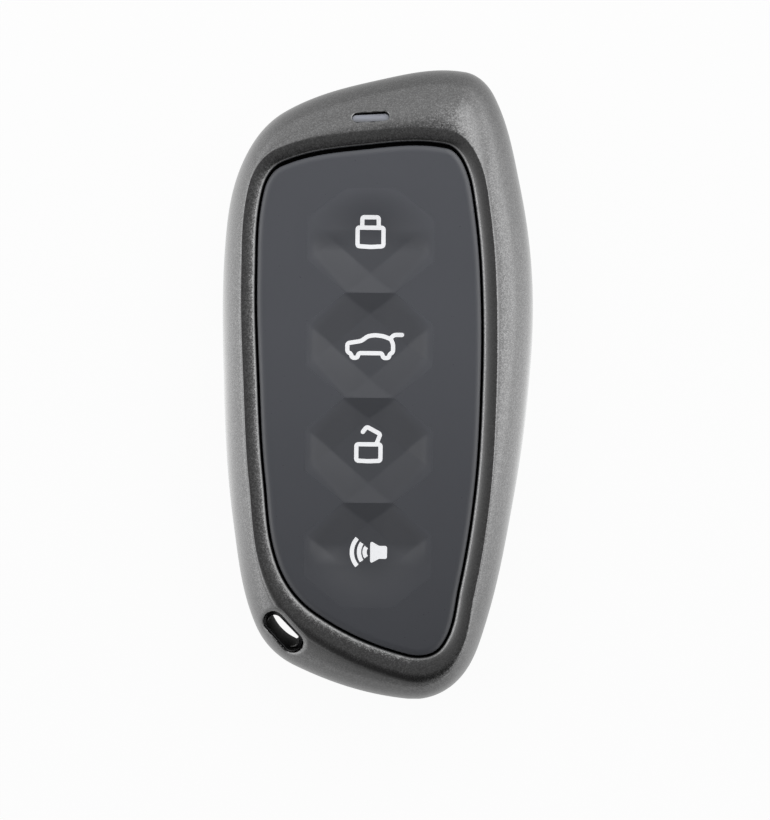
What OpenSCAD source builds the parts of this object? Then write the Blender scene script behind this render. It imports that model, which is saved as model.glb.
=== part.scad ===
// Car key fob: a painted case with a four-button soft keypad, the board and cell that it
// holds, and an emergency key in its rear half.
// Millimetres. The fob lies on its back: +X to the right, +Y towards the lamp end, +Z up.

/* [Case] */
// Width of the case
body_w = 41.6; // [38:0.2:48]
// Length of the case
body_l = 84; // [76:0.5:96]
// Thickness of the case, back to crest
body_t = 14.5; // [14:0.1:18]
// Height of the joint between the front and the rear cover
parting_z = 5.8; // [5.7:0.1:6.4]
// Wall of the front cover and of the rear cover's sides
wall = 1.5; // [1.2:0.1:1.7]
// Floor of the rear cover
rear_wall = 1.4; // [1:0.1:1.5]
// How far the flat back lies inside the outline
rear_inset = 3.5; // [2.5:0.1:4]
// Open line between the two covers
parting_gap = 0.1; // [0.05:0.05:0.2]

/* [Keypad opening] */
// Rim from the right side to the opening
rim_right = 7; // [6:0.1:8]
// Rim from the left side to the opening
rim_left = 4.8; // [4.4:0.1:5.5]
// Rim from the lamp end to the opening
rim_top = 10.5; // [10:0.1:12]
// Rim from the lower end to the opening
rim_bottom = 6.2; // [5.8:0.1:8]
// Width of the raised rim round the opening
crest_w = 1.9; // [1.6:0.1:2.2]
// Flat top of the raised rim
crest_flat = 0.7; // [0.4:0.1:1]
// Fall of the raised rim to the opening's edge
crest_drop = 0.8; // [0.4:0.1:1]
// Depth of the opening's wall below its edge
ledge_h = 1.3; // [1.1:0.1:1.4]

/* [Keypad] */
// Open line round the pad
pad_gap = 0.35; // [0.2:0.05:0.5]
// Top of the pad below the opening's edge
pad_recess = 0.15; // [0:0.05:0.3]
// Thickness of the pad's clamped flange
flange_t = 0.45; // [0.3:0.05:0.5]
// Width of the clamped flange past the opening
flange_w = 1.1; // [0.8:0.1:1.2]
// Radius that rolls the pad's edge over
pad_round = 0.4; // [0.2:0.1:0.6]
// Least strip of pad between its edge and a button
pad_strip = 0.8; // [0.5:0.1:1.2]
// Distance from button to button
button_pitch = 13.75; // [13.6:0.05:14]
// Middle of the button column, from the opening's middle
column_x = 0; // [-0.5:0.1:0.5]
// Middle of the button column, from the opening's middle
column_y = 0.3; // [-0.5:0.1:1]
// Lean of the button column
column_lean = 0.6; // [0:0.1:1]
// Width of a button's octagon
button_w = 16.7; // [15:0.1:17.5]
// Flat edge at the octagon's top and bottom
button_flat = 6.8; // [5:0.1:8]
// Flat edge at the octagon's sides
button_side = 5.3; // [4:0.1:7]
// Width of the diamond floor
floor_w = 9.4; // [8:0.1:11]
// Height of the diamond floor
floor_h = 8.6; // [8:0.1:10]
// Depth of the diamond floor
floor_depth = 0.5; // [0.2:0.05:0.7]
// Thickness of a button
button_t = 1.15; // [1:0.05:1.15]
// Open line round a button
button_gap = 0.08; // [0.05:0.01:0.12]
// Travel of a button
button_travel = 0.35; // [0.2:0.05:0.35]
// Diameter of a plunger
plunger_d = 4; // [3:0.1:5]
// Carrier plate that clamps the pad
carrier_t = 0.9; // [0.7:0.1:1.2]

/* [Lamp] */
// Length of the lamp slot
lamp_l = 5; // [4:0.1:7]
// Width of the lamp slot
lamp_w = 1.25; // [1:0.05:1.5]
// Middle of the lamp slot, from the case's middle
lamp_x = -0.9; // [-3:0.1:3]
// Middle of the lamp slot, from the opening's upper edge
lamp_rise = 3.7; // [3.2:0.1:4]
// Slant of the lamp slot
lamp_lean = 3; // [0:0.5:6]

/* [Lanyard hole] */
// Length of the lanyard hole
hole_l = 6.1; // [5.5:0.1:6.5]
// Width of the lanyard hole
hole_w = 2.9; // [2.6:0.1:3.2]
// Middle of the hole from the left side
hole_in = 8.35; // [8.2:0.05:9]
// Middle of the hole from the lower end
hole_up = 9.4; // [9.2:0.1:10]
// Wall of the black liner
liner_wall = 0.4; // [0.3:0.05:0.5]

/* [Board and cell] */
// Thickness of the circuit board
board_t = 1; // [0.8:0.1:1.2]
// Plate of the chassis under the board
web_t = 1; // [0.8:0.1:1.2]
// Diameter of the coin cell
cell_d = 20; // [19.5:0.1:20.4]
// Height of the coin cell
cell_h = 3.2; // [2.5:0.1:3.2]
// Height of a switch body
switch_h = 1.3; // [1:0.1:1.5]
// Side of a switch body
switch_w = 4.5; // [4:0.1:5]
// Diameter of a switch stem
stem_d = 2; // [1.6:0.1:2.4]
// Diameter of a screw
screw_d = 1.7; // [1.4:0.1:2]
// Length of a screw under its head
screw_l = 4.5; // [3.5:0.1:4.7]

/* [Emergency key] */
// Middle of the blade, from the right side
key_in = 10.3; // [10:0.1:10.8]
// Width of the blade
blade_w = 6; // [5.5:0.1:6.6]
// Thickness of the blade
blade_t = 2; // [1.6:0.1:2]
// Length of the blade, from the head to its tip
blade_l = 43.5; // [38:0.5:45]
// Width of the head
head_w = 10.4; // [9:0.1:11]
// Length of the head, from the lamp end inwards
head_l = 10.5; // [9.5:0.1:12]
// Middle of the release button along the case
release_y = 12; // [8:0.5:14]
// Length of the release button
release_l = 8; // [6:0.5:9]
// Travel of the release button
release_travel = 1.2; // [0.8:0.1:1.2]

/* [Hidden] */
$fn = 48;

// Clearances
fit = 0.05;          // a piece seated in another
slide_gap = 0.15;    // a piece that slides beside another
run_gap = 0.06;      // a plunger in its guide
touch_gap = 0.02;    // a plunger over its switch stem
join = 0.01;         // shapes that run into one another
cut = 1;             // how far a cutter runs past what it cuts

// Sides of the case and of the keypad opening
right = body_w / 2;
left = -body_w / 2;
top = body_l / 2;
bottom = -body_l / 2;
open_right = right - rim_right;
open_left = left + rim_left;
open_top = top - rim_top;
open_bottom = bottom + rim_bottom;

// Heights, stacked from the back
web_drop = 0.8;      // chassis plate below the joint of the covers
stem_out = 0.58;     // switch stem above its body
cell_lift = 0.7;     // cell above the rear cover's floor
blade_lift = 0.6;    // blade above that floor
head_lift = 0.3;     // key head above that floor
release_lift = 1.2;  // release button above that floor
web_z = parting_z - web_drop;
board_z = web_z + web_t;
switch_z = board_z + board_t;
stem_z = switch_z + switch_h + stem_out;
crest_z = body_t;
edge_z = crest_z - crest_drop;
ledge_z = edge_z - ledge_h;
pad_z = edge_z - pad_recess;
carrier_z = ledge_z - fit - flange_t;
cell_z = rear_wall + cell_lift;
blade_z = rear_wall + blade_lift;
blade_top = blade_z + blade_t;
head_z = rear_wall + head_lift;
head_top = parting_z - slide_gap;
release_z = rear_wall + release_lift;
rear_top = parting_z - parting_gap;

// Points of the case's outline, counter-clockwise from the middle of the right side
BODY = [[right - 0.5, 0.5], [right - 0.1, 13.9], [right - 1.8, top - 15.2], [right - 5.1, top - 3.6],
    [right - 9.1, top - 0.2], [0.9, top - 1.1], [left + 8.5, top - 5.5], [left + 3, top - 11.8],
    [left + 0.5, 20.1], [left + 0.2, -0.5], [left + 1.5, -18.7], [left + 4.5, bottom + 9.7],
    [left + 9.7, bottom + 4.4], [4, bottom], [right - 10.3, bottom + 2.3],
    [right - 6.5, bottom + 9.6], [right - 2.7, -15.6]];
// Points of the keypad opening, matched one to one with the outline's
OPENING = [[open_right - 0.1, -0.1], [open_right - 0.1, 12.6], [open_right - 0.9, open_top - 9],
    [open_right - 2.3, open_top - 2.8], [open_right - 4.9, open_top - 0.2], [-1.2, open_top - 0.3],
    [open_left + 3.6, open_top - 2.5], [open_left + 0.9, open_top - 6.2], [open_left, 14.2],
    [open_left + 0.3, 0.3], [open_left + 1, -12], [open_left + 2.8, open_bottom + 12.1],
    [open_left + 7.7, open_bottom + 5.7], [3.8, open_bottom + 0.2], [open_right - 5.4, open_bottom + 1.3],
    [open_right - 3, open_bottom + 9.2], [open_right - 0.9, -13.7]];
STEPS = 4;           // stretches between two outline points
HANDLE = 0.35;       // length of a curve's handle, per chord

function unit(v) = v / norm(v);
function curve(a, b, c, d, t) =
    pow(1 - t, 3) * a + 3 * t * pow(1 - t, 2) * b + 3 * t * t * (1 - t) * c + pow(t, 3) * d;
// A smooth closed curve through points p, whose tangents run along the chords of the neighbours
function smooth_loop(p) = let (k = len(p)) [
    for (i = [0 : k - 1]) let (
        a = p[(i + k - 1) % k], b = p[i], c = p[(i + 1) % k], d = p[(i + 2) % k],
        h = HANDLE * norm(c - b))
    for (j = [0 : STEPS - 1]) curve(b, b + h * unit(c - a), c - h * unit(d - b), c, j / STEPS)];
// The ring moved inwards by d, or outwards where d is negative
function inset(r, d) = let (k = len(r)) [
    for (i = [0 : k - 1]) let (t = unit(r[(i + 1) % k] - r[(i + k - 1) % k]))
    r[i] + d * [-t[1], t[0]]];
function between(a, b, f) = [for (i = [0 : len(a) - 1]) a[i] + f * (b[i] - a[i])];
function at_z(r, z) = [for (p = r) [p[0], p[1], z]];
// Rounded side from ring a at height za, where it is upright, to ring b at height zb
function side(a, b, za, zb, bulge, us) = [
    for (u = us) at_z(between(a, b, u * u), za + (zb - za) * (2 * u * (1 - u) * bulge + u * u))];

body_ring = smooth_loop(BODY);
open_ring = smooth_loop(OPENING);
back_ring = inset(body_ring, rear_inset);
FRONT_BULGE = 0.7;
REAR_BULGE = 0.8;
RISE = [0, 0.2, 0.4, 0.6, 0.8, 1];
FALL = [1, 0.8, 0.6, 0.4, 0.2, 0];

// A closed skin over rings of equally many points; the ends are capped, or joined where loop is true
module skin(rings, loop = false) {
    n = len(rings[0]);
    m = len(rings);
    bands = loop ? m : m - 1;
    sides = [for (k = [0 : bands - 1], i = [0 : n - 1]) let (
        a = k * n + i, b = k * n + (i + 1) % n,
        d = ((k + 1) % m) * n + i, c = ((k + 1) % m) * n + (i + 1) % n)
        each [[a, d, c], [a, c, b]]];
    caps = loop ? [] : [[for (i = [0 : n - 1]) i], [for (i = [n - 1 : -1 : 0]) (m - 1) * n + i]];
    polyhedron([for (r = rings) each r], concat(sides, caps));
}

// A plate of the ring's outline, from height z0 to z1
module plate(ring, z0, z1) {
    translate([0, 0, z0]) linear_extrude(z1 - z0) polygon(ring);
}

// A wall between two outlines
module ring_wall(outer, inner, z0, z1) {
    difference() {
        plate(outer, z0, z1);
        plate(inner, z0 - cut, z1 + cut);
    }
}

// An oblong with round ends along X, from height z0 to z1
module oblong(l, w, z0, z1) {
    translate([0, 0, z0]) {
        translate([-(l - w) / 2, -w / 2, 0]) cube([l - w, w, z1 - z0]);
        for (s = [-1, 1]) translate([s * (l - w) / 2, 0, 0]) cylinder(d = w, h = z1 - z0);
    }
}

module block(x0, x1, y0, y1, z0, z1) {
    translate([x0, y0, z0]) cube([x1 - x0, y1 - y0, z1 - z0]);
}

// A profile in X and Z, as wide as w along Y and with its middle at y
module strip(points, y, w) {
    translate([0, y + w / 2, 0]) rotate([90, 0, 0]) linear_extrude(w) polygon(points);
}

// Places
HOLE_TURN = -46;
hole_pos = [left + hole_in, bottom + hole_up, 0];
lamp_pos = [lamp_x, open_top + lamp_rise, 0];
column_mid = [(open_left + open_right) / 2 + column_x, (open_top + open_bottom) / 2 + column_y];
// Place of button i, 0 at the lamp end and 3 at the lower end
function button_pos(i) = let (d = (1.5 - i) * button_pitch)
    [column_mid[0] + d * sin(column_lean), column_mid[1] + d * cos(column_lean), 0];
screw_pos = [[open_left + 3.5, open_top - 7], [1, open_top - 2.8], [open_left + 4.5, open_bottom + 16.8],
    [open_right - 5.8, open_bottom + 5]];
rail_t = 0.8;        // rails of the key's channel
well_gap = 0.25;     // room round the cell
key_x = right - key_in;
head_y = top - head_l;
blade_tip = head_y - blade_l;
rail_in = blade_w / 2 + slide_gap;
release_flange_in = 3.9;
release_x = right - release_flange_in;
cell_from_middle = 4;
cell_pos = [key_x - rail_in - rail_t - well_gap / 2 - cell_d / 2, cell_from_middle, 0];

module at_hole() { translate(hole_pos) rotate([0, 0, HOLE_TURN]) children(); }
module at_lamp() { translate(lamp_pos) rotate([0, 0, lamp_lean]) children(); }
module at_screws() { for (p = screw_pos) translate(p) children(); }
module at_buttons() { for (i = [0 : 3]) translate(button_pos(i)) children(); }
module at_cell() { translate([cell_pos[0], cell_pos[1], cell_z]) children(); }

// The front cover is one ring: outer side, crest, fall to the opening, pocket for the pad's flange
// and inner side
pocket_gap = 0.2;    // round the pad's flange
crest_wall = 0.3;    // inner side behind the crest's outer edge
CREST_BEND = 0.4;    // where the crest's fall turns, as a share of its width
module front_cover() color("#55575a") {
    pocket = inset(open_ring, -flange_w - pocket_gap);
    difference() {
        skin(concat(
            side(body_ring, inset(open_ring, -crest_w), parting_z, crest_z, FRONT_BULGE, RISE),
            [at_z(inset(open_ring, -crest_w + crest_flat), crest_z),
             at_z(inset(open_ring, (crest_flat - crest_w) * CREST_BEND), crest_z - crest_drop * CREST_BEND),
             at_z(open_ring, edge_z),
             at_z(open_ring, ledge_z),
             at_z(pocket, ledge_z),
             at_z(pocket, crest_z - wall)],
            side(inset(body_ring, wall), inset(open_ring, -crest_w + crest_wall),
                parting_z, crest_z - wall, FRONT_BULGE, FALL)), loop = true);
        at_lamp() oblong(lamp_l, lamp_w, web_z, body_t + cut);
        at_hole() oblong(hole_l, hole_w, web_z, body_t + cut);
    }
}

// Room for the key's head and for the release button in what surrounds them
module head_room() {
    block(key_x - head_w / 2 - slide_gap, key_x + head_w / 2 + slide_gap,
        head_y - slide_gap, top + cut, head_z - slide_gap, board_z);
}
module release_room(grow) {
    block(release_x - release_travel - slide_gap, right + cut,
        release_y - release_l / 2 - grow, release_y + release_l / 2 + grow,
        release_z - slide_gap, parting_z);
}

// Catch: a leaf staked under the chassis, whose nose drops into the blade's pocket
catch_t = 0.25;
catch_w = 3;
catch_gap = 0.15;    // leaf under the chassis plate
catch_l = 17;        // stake's end to the release button's middle
stake_l = 5;
nose_in = 0.6;       // nose into the blade
nose_l = 0.7;
nose_gap = 0.3;      // round the nose and the leaf
nose_y = release_y + nose_in;
catch_z = web_z - catch_gap - catch_t;
// Tongue of the release button, whose ramp lifts the leaf
tongue_w = 2.5;
tongue_gap = 0.5;    // tongue's tip beside the leaf
tongue_tip = 0.2;    // height of the tip
tongue_ramp = 0.7;
tongue_lift = 0.55;  // how far the ramp lifts the leaf
tongue_z = blade_top + slide_gap;
tongue_top = catch_z + tongue_lift;

chassis_gap = 0.3;   // chassis in the front cover
chassis_wall = 1;
chassis_rise = 1.6;  // wall round the board
skirt_gap = 0.4;     // skirt in the rear cover
skirt_t = 0.8;
skirt_h = 1;
well_t = 0.9;        // well of the cell
well_up = 0.8;       // well's lower edge above the cell's underside
well_in = 1.5;       // well inside the case's wall
screw_play = 0.2;
groove_up = 0.5;     // groove of the seal above the board's underside
groove_h = 0.6;
groove_in = 0.7;
liner_foot = 0.6;    // liner above the rear cover's floor
liner_drop = 1.6;    // liner below the opening's edge
liner_slope_up = 3;  // lower end of the liner's slanted top, above the board's underside
LINER_SLOPE = 48;
flange_over = 1;     // release button's flange past its sides
flange_play = 0.5;
slot_play = 0.2;     // round the tongue and the positive contact
relief_in = 2;       // where the catch's relief starts, past its stake
contact_w = 3;
contact_notch = 0.6; // notch for the positive contact, past the cell
module chassis() color("#17181a") {
    edge = inset(body_ring, wall + chassis_gap);
    difference() {
        union() {
            plate(edge, web_z, board_z);
            // Wall that locates the board and carries the seal
            ring_wall(edge, inset(edge, chassis_wall), board_z, board_z + chassis_rise);
            // Skirt inside the rear cover
            ring_wall(inset(body_ring, wall + skirt_gap), inset(body_ring, wall + skirt_gap + skirt_t),
                web_z - skirt_h, web_z);
            // Well of the cell, trimmed to the case
            intersection() {
                at_cell() translate([0, 0, well_up])
                    cylinder(d = cell_d + 2 * well_gap + 2 * well_t, h = web_z - cell_z - well_up);
                plate(inset(body_ring, wall + well_in), 0, board_z);
            }
            // Rails and end stop of the key's channel
            for (s = [-1, 1]) translate([key_x + s * (rail_in + rail_t / 2), 0, 0])
                block(-rail_t / 2, rail_t / 2, blade_tip - slide_gap, head_y - slide_gap, blade_z, web_z);
            block(key_x - rail_in - rail_t, key_x + rail_in + rail_t,
                blade_tip - slide_gap - rail_t, blade_tip - slide_gap, blade_z, web_z);
            // Pad that the key's catch is staked to
            block(key_x - catch_w / 2, key_x + catch_w / 2,
                release_y - catch_l, release_y - catch_l + stake_l, web_z - catch_gap, web_z);
            // Liner of the lanyard hole, with a slanted upper end under the case's slope
            difference() {
                at_hole() oblong(hole_l - 2 * fit, hole_w - 2 * fit,
                    rear_wall + liner_foot, edge_z - liner_drop);
                at_hole() translate([0, -hole_w / 2, board_z + liner_slope_up]) rotate([LINER_SLOPE, 0, 0])
                    translate([-hole_l, -hole_l, 0]) cube([2 * hole_l, 3 * hole_l, 2 * hole_l]);
            }
        }
        at_hole() oblong(hole_l - 2 * fit - 2 * liner_wall, hole_w - 2 * fit - 2 * liner_wall, 0, body_t);
        translate(cell_pos) cylinder(d = cell_d + 2 * well_gap, h = board_z + cut);
        at_screws() cylinder(d = screw_d + screw_play, h = board_z + cut);
        // Groove of the seal
        ring_wall(body_ring, inset(body_ring, wall + groove_in),
            board_z + groove_up, board_z + groove_up + groove_h);
        // The key's channel, beside the well
        block(key_x - rail_in, key_x + rail_in, blade_tip - slide_gap, head_y, blade_z - cut, tongue_z);
        head_room();
        release_room(flange_over + flange_play);
        // Slot for the release button's tongue, and room for the catch to lift
        block(key_x, right, release_y - tongue_w - slot_play, release_y + slot_play,
            blade_top, tongue_top + slide_gap);
        block(key_x - catch_w / 2 - nose_gap, key_x + catch_w / 2 + nose_gap,
            release_y - catch_l + stake_l + relief_in, nose_y + nose_l + nose_gap,
            web_z - cut, web_z + nose_in);
        // Notch for the positive contact
        block(cell_pos[0] - cell_d / 2 - contact_notch, cell_pos[0],
            cell_pos[1] - contact_w / 2 - slot_play, cell_pos[1] + contact_w / 2 + slot_play,
            cell_z, board_z + cut);
    }
}

floor_in = 0.2;      // inner floor inside the flat back's edge
rest_d = 12;         // ring that the cell rests on
rest_t = 0.8;
module rear_cover() color("#55575a") {
    difference() {
        union() {
            skin(concat(
                side(body_ring, back_ring, rear_top, 0, REAR_BULGE, FALL),
                side(inset(body_ring, wall), inset(back_ring, floor_in),
                    rear_top, rear_wall, REAR_BULGE, RISE)));
            translate([cell_pos[0], cell_pos[1], rear_wall / 2]) difference() {
                cylinder(d = rest_d, h = rear_wall / 2 + cell_lift - fit);
                translate([0, 0, -join]) cylinder(d = rest_d - 2 * rest_t, h = body_t);
            }
        }
        at_hole() oblong(hole_l, hole_w, -cut, body_t);
        head_room();
        release_room(slide_gap);
    }
}

seal_out = 0.22;     // seal inside the case's wall
module seal() color("#303234") {
    ring_wall(inset(body_ring, wall + seal_out), inset(body_ring, wall + groove_in - fit),
        board_z + groove_up + fit, board_z + groove_up + groove_h - fit);
}

// Outline of a button's octagon, grown by d
OCTAGON_CORNER = 0.4;    // growth of the flat edges, per growth of the octagon
function octagon(d) = let (
    w = button_w / 2 + d, h = button_pitch / 2 + d,
    f = button_flat / 2 + d * OCTAGON_CORNER, s = button_side / 2 + d * OCTAGON_CORNER)
    [[w, -s], [w, s], [f, h], [-f, h], [-w, s], [-w, -s], [-f, -h], [f, -h]];

PAD_BEND = 0.3;      // where the pad's rolled edge turns, as a share of its radius
module keypad_pad() color("#54565a") {
    flange = inset(open_ring, -flange_w);
    edge = inset(open_ring, pad_gap);
    difference() {
        skin([at_z(flange, carrier_z), at_z(flange, carrier_z + flange_t), at_z(edge, carrier_z + flange_t),
            at_z(edge, pad_z - pad_round),
            at_z(inset(edge, PAD_BEND * pad_round), pad_z - PAD_BEND * pad_round),
            at_z(inset(edge, pad_round), pad_z)]);
        intersection() {
            at_buttons() rotate([0, 0, -column_lean])
                linear_extrude(body_t) polygon(octagon(join));
            plate(inset(edge, pad_strip), 0, body_t);
        }
    }
}

boss_d = 3.6;        // screw boss of the carrier
guide_wall = 1;      // wall of a plunger's guide
guide_h = 1.4;
screw_bite = 0.04;
module keypad_carrier() color("#1c1d1f") {
    difference() {
        union() {
            plate(inset(open_ring, -flange_w), carrier_z - carrier_t, carrier_z);
            at_buttons() translate([0, 0, carrier_z - carrier_t - guide_h])
                cylinder(d = plunger_d + 2 * guide_wall, h = guide_h + carrier_t / 2);
            at_screws() translate([0, 0, board_z])
                cylinder(d = boss_d, h = carrier_z - carrier_t / 2 - board_z);
        }
        at_buttons() cylinder(d = plunger_d + 2 * run_gap, h = body_t);
        at_screws() translate([0, 0, web_z]) cylinder(d = screw_d + screw_bite, h = screw_l + slide_gap);
    }
}

// A button: octagon with a sunk diamond floor, plunger and the collar that keeps it in its guide
collar_w = 0.4;
collar_h = 0.5;
module gem() {
    o = octagon(-button_gap);
    dia = [[floor_w / 2, 0], [0, floor_h / 2], [-floor_w / 2, 0], [0, -floor_h / 2]];
    polyhedron(concat(at_z(o, pad_z - button_t), at_z(o, pad_z), at_z(dia, pad_z - floor_depth)),
        concat([[for (k = [0 : 7]) k]],
            [for (k = [0 : 7]) [k, k + 8, (k + 1) % 8 + 8, (k + 1) % 8]],
            [for (q = [0 : 3]) let (k = 2 * q) each [
                [k + 8, 16 + q, (k + 1) % 8 + 8],
                [(k + 1) % 8 + 8, 16 + q, 16 + (q + 1) % 4],
                [(k + 1) % 8 + 8, 16 + (q + 1) % 4, (k + 2) % 8 + 8]]],
            [[19, 18, 17, 16]]));
}
module button(i) {
    plunger_z = stem_z + touch_gap;
    intersection() {
        translate(button_pos(i)) rotate([0, 0, -column_lean]) gem();
        plate(inset(open_ring, pad_gap + pad_strip + button_gap), 0, body_t);
    }
    translate(button_pos(i)) translate([0, 0, plunger_z]) {
        cylinder(d = plunger_d, h = pad_z - button_t - plunger_z);
        cylinder(d = plunger_d + 2 * collar_w, h = collar_h);
    }
}
module button_lock() color("#54565a") button(0);
module button_tailgate() color("#54565a") button(1);
module button_unlock() color("#54565a") button(2);
module button_horn() color("#54565a") button(3);

board_gap = 0.15;    // board in the chassis
hole_clear = 0.3;    // board round the liner and the bosses
module circuit_board() color("#1f5b3a") {
    difference() {
        plate(inset(body_ring, wall + chassis_gap + chassis_wall + board_gap), board_z, switch_z);
        at_screws() translate([0, 0, board_z - cut]) cylinder(d = boss_d + hole_clear, h = board_t + 2 * cut);
        at_hole() oblong(hole_l + 2 * hole_clear, hole_w + 2 * hole_clear, board_z - cut, switch_z + cut);
    }
}

// Tactile switches: moulded body with a well for the stem, metal cover, and the stem that travels
switch_floor = 0.2;
stem_play = 0.1;
cover_in = 0.2;
cover_t = 0.15;
cover_play = 0.5;
module switch_bodies() color("#26282b") {
    at_buttons() difference() {
        block(-switch_w / 2, switch_w / 2, -switch_w / 2, switch_w / 2, switch_z, switch_z + switch_h);
        translate([0, 0, switch_z + switch_floor]) cylinder(d = stem_d + stem_play, h = switch_h);
    }
}
module switch_covers() color("#b9bcc0") {
    reach = switch_w / 2 - cover_in;
    at_buttons() difference() {
        block(-reach, reach, -reach, reach, switch_z + switch_h, switch_z + switch_h + cover_t);
        translate([0, 0, switch_z]) cylinder(d = stem_d + cover_play, h = switch_h + cut);
    }
}
module switch_stem(i) {
    foot_z = switch_z + switch_floor + button_travel + fit;
    translate(button_pos(i)) translate([0, 0, foot_z]) cylinder(d = stem_d, h = stem_z - foot_z);
}
module switch_stem_lock() color("#d8d4c8") switch_stem(0);
module switch_stem_tailgate() color("#d8d4c8") switch_stem(1);
module switch_stem_unlock() color("#d8d4c8") switch_stem(2);
module switch_stem_horn() color("#d8d4c8") switch_stem(3);

// Lamp: chip on the board, and the guide that carries its light up to the slot
LED = [1.6, 0.8, 0.6];
lens_drop = 0.7;     // lens below the opening's edge
guide_out = 0.65;    // guide's flange past the slot
guide_t = 0.6;
guide_drop = 2.8;    // flange below the case's inner side
guide_leg_l = 3;
guide_leg_w = 1;
led_gap = 0.2;
module led_chip() color("#e9e6d8") {
    at_lamp() translate([-LED[0] / 2, -LED[1] / 2, switch_z]) cube(LED);
}
module light_guide() color("#9aa0aa") {
    flange_z = crest_z - wall - guide_drop;
    at_lamp() {
        oblong(lamp_l - 2 * fit, lamp_w - 2 * fit, flange_z, edge_z - lens_drop);
        oblong(lamp_l + 2 * guide_out, lamp_w + 2 * guide_out, flange_z, flange_z + guide_t);
        block(-guide_leg_l / 2, guide_leg_l / 2, -guide_leg_w / 2, guide_leg_w / 2,
            switch_z + LED[2] + led_gap, flange_z);
    }
}

// Parts on the board, in a column on each side of the switches
CONTROLLER = [6, 6, 0.9];
RADIO = [4, 4, 0.8];
CRYSTAL = [3.2, 2.5, 0.7];
PASSIVE = [1, 0.5, 0.4];
passive_pitch = 2.2;
part_gap = 1.5;      // from part to part
side_in = 5.5;       // parts inside the opening's sides
ANTENNA = [7, 7, 2.6];
antenna_end_t = 0.7; // end plates of the antenna's core
waist_in = 0.9;      // waist that the winding lies in
winding_in = 0.2;    // winding inside the end plates
// Height of the place between buttons i and i + 1
function between_y(i) = (button_pos(i)[1] + button_pos(i + 1)[1]) / 2;
controller_pos = [open_right - side_in, between_y(0)];
antenna_pos = [open_right - side_in, between_y(1)];
radio_pos = [open_left + side_in, between_y(0)];
crystal_pos = radio_pos - [0, RADIO[1] / 2 + part_gap + CRYSTAL[1] / 2];
// A flat package on the board, of size s, with its middle at p
module package(p, s) {
    translate([p[0] - s[0] / 2, p[1] - s[1] / 2, switch_z]) cube(s);
}
module controller_chip() color("#1a1b1d") package(controller_pos, CONTROLLER);
module radio_chip() color("#1a1b1d") package(radio_pos, RADIO);
module crystal() color("#c9cbce") package(crystal_pos, CRYSTAL);
module passives() color("#a58d6f") {
    for (k = [0 : 4])
        package(crystal_pos - [0, CRYSTAL[1] / 2 + part_gap + k * passive_pitch], PASSIVE);
    for (k = [0 : 3])
        package((controller_pos + antenna_pos) / 2 + [(k - 1.5) * passive_pitch, 0], PASSIVE);
    for (k = [0 : 2])
        package(antenna_pos - [0, ANTENNA[1] / 2 + part_gap + k * passive_pitch], PASSIVE);
}
// A block inside the antenna's outline by d, from height z0 to z1
module antenna_block(d, z0, z1) {
    translate([antenna_pos[0], antenna_pos[1], switch_z])
        block(-ANTENNA[0] / 2 + d, ANTENNA[0] / 2 - d, -ANTENNA[1] / 2 + d, ANTENNA[1] / 2 - d, z0, z1);
}
module antenna_core() color("#2b2b2e") {
    difference() {
        antenna_block(0, 0, ANTENNA[2]);
        difference() {
            antenna_block(-cut, antenna_end_t, ANTENNA[2] - antenna_end_t);
            antenna_block(waist_in, 0, ANTENNA[2]);
        }
    }
}
module antenna_winding() color("#b3642e") {
    difference() {
        antenna_block(winding_in, antenna_end_t, ANTENNA[2] - antenna_end_t);
        antenna_block(waist_in, 0, ANTENNA[2]);
    }
}

// Coin cell, its can towards the rear cover and its cap towards the board
can_t = 0.3;
cap_step = 1.1;
gasket_drop = 0.1;   // gasket below the can's edge
module coin_cell_can() color("#c4c6c8") {
    at_cell() difference() {
        cylinder(d = cell_d, h = cell_h - can_t);
        translate([0, 0, can_t]) cylinder(d = cell_d - 2 * can_t, h = cell_h);
    }
}
module coin_cell_cap() color("#d2d3d5") {
    cap_d = cell_d - 2 * can_t - 2 * cap_step;
    at_cell() difference() {
        translate([0, 0, can_t]) cylinder(d = cap_d, h = cell_h - can_t);
        translate([0, 0, can_t - cut]) cylinder(d = cap_d - 2 * can_t, h = cell_h - 2 * can_t + cut);
    }
}
module coin_cell_gasket() color("#6b6d70") {
    at_cell() difference() {
        translate([0, 0, can_t]) cylinder(d = cell_d - 2 * can_t, h = cell_h - 2 * can_t - gasket_drop);
        cylinder(d = cell_d - 2 * can_t - 2 * cap_step, h = cell_h + cut);
    }
}

// Contacts: a leaf on the cap, and an angle at the can's side, both soldered to the board's underside
leaf_t = 0.2;
leaf_foot = 7;       // leaf's outer end, from the cell's middle
leaf_bend = 4;       // where it leaves the board
leaf_tip = 2.4;      // its end on the cap
angle_up = 0.9;      // angle's lower end above the cell's underside
angle_foot = 1.8;
module battery_contact_negative() color("#c9b26a") {
    z1 = board_z - fit / 2;
    z0 = cell_z + cell_h + fit / 2;
    translate([cell_pos[0], 0, 0]) strip([[-leaf_foot, z1], [-leaf_foot, z1 - leaf_t],
        [-leaf_bend, z1 - leaf_t], [0, z0], [leaf_tip, z0], [leaf_tip, z0 + leaf_t],
        [0, z0 + leaf_t], [-leaf_bend, z1]], cell_pos[1], contact_w);
}
module battery_contact_positive() color("#c9b26a") {
    z1 = board_z - fit;
    z0 = cell_z + angle_up;
    translate([cell_pos[0] - cell_d / 2 - fit, 0, 0]) strip([[-leaf_t, z0], [0, z0], [0, z1 - leaf_t],
        [angle_foot, z1 - leaf_t], [angle_foot, z1], [-leaf_t, z1]], cell_pos[1], contact_w);
}

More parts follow.
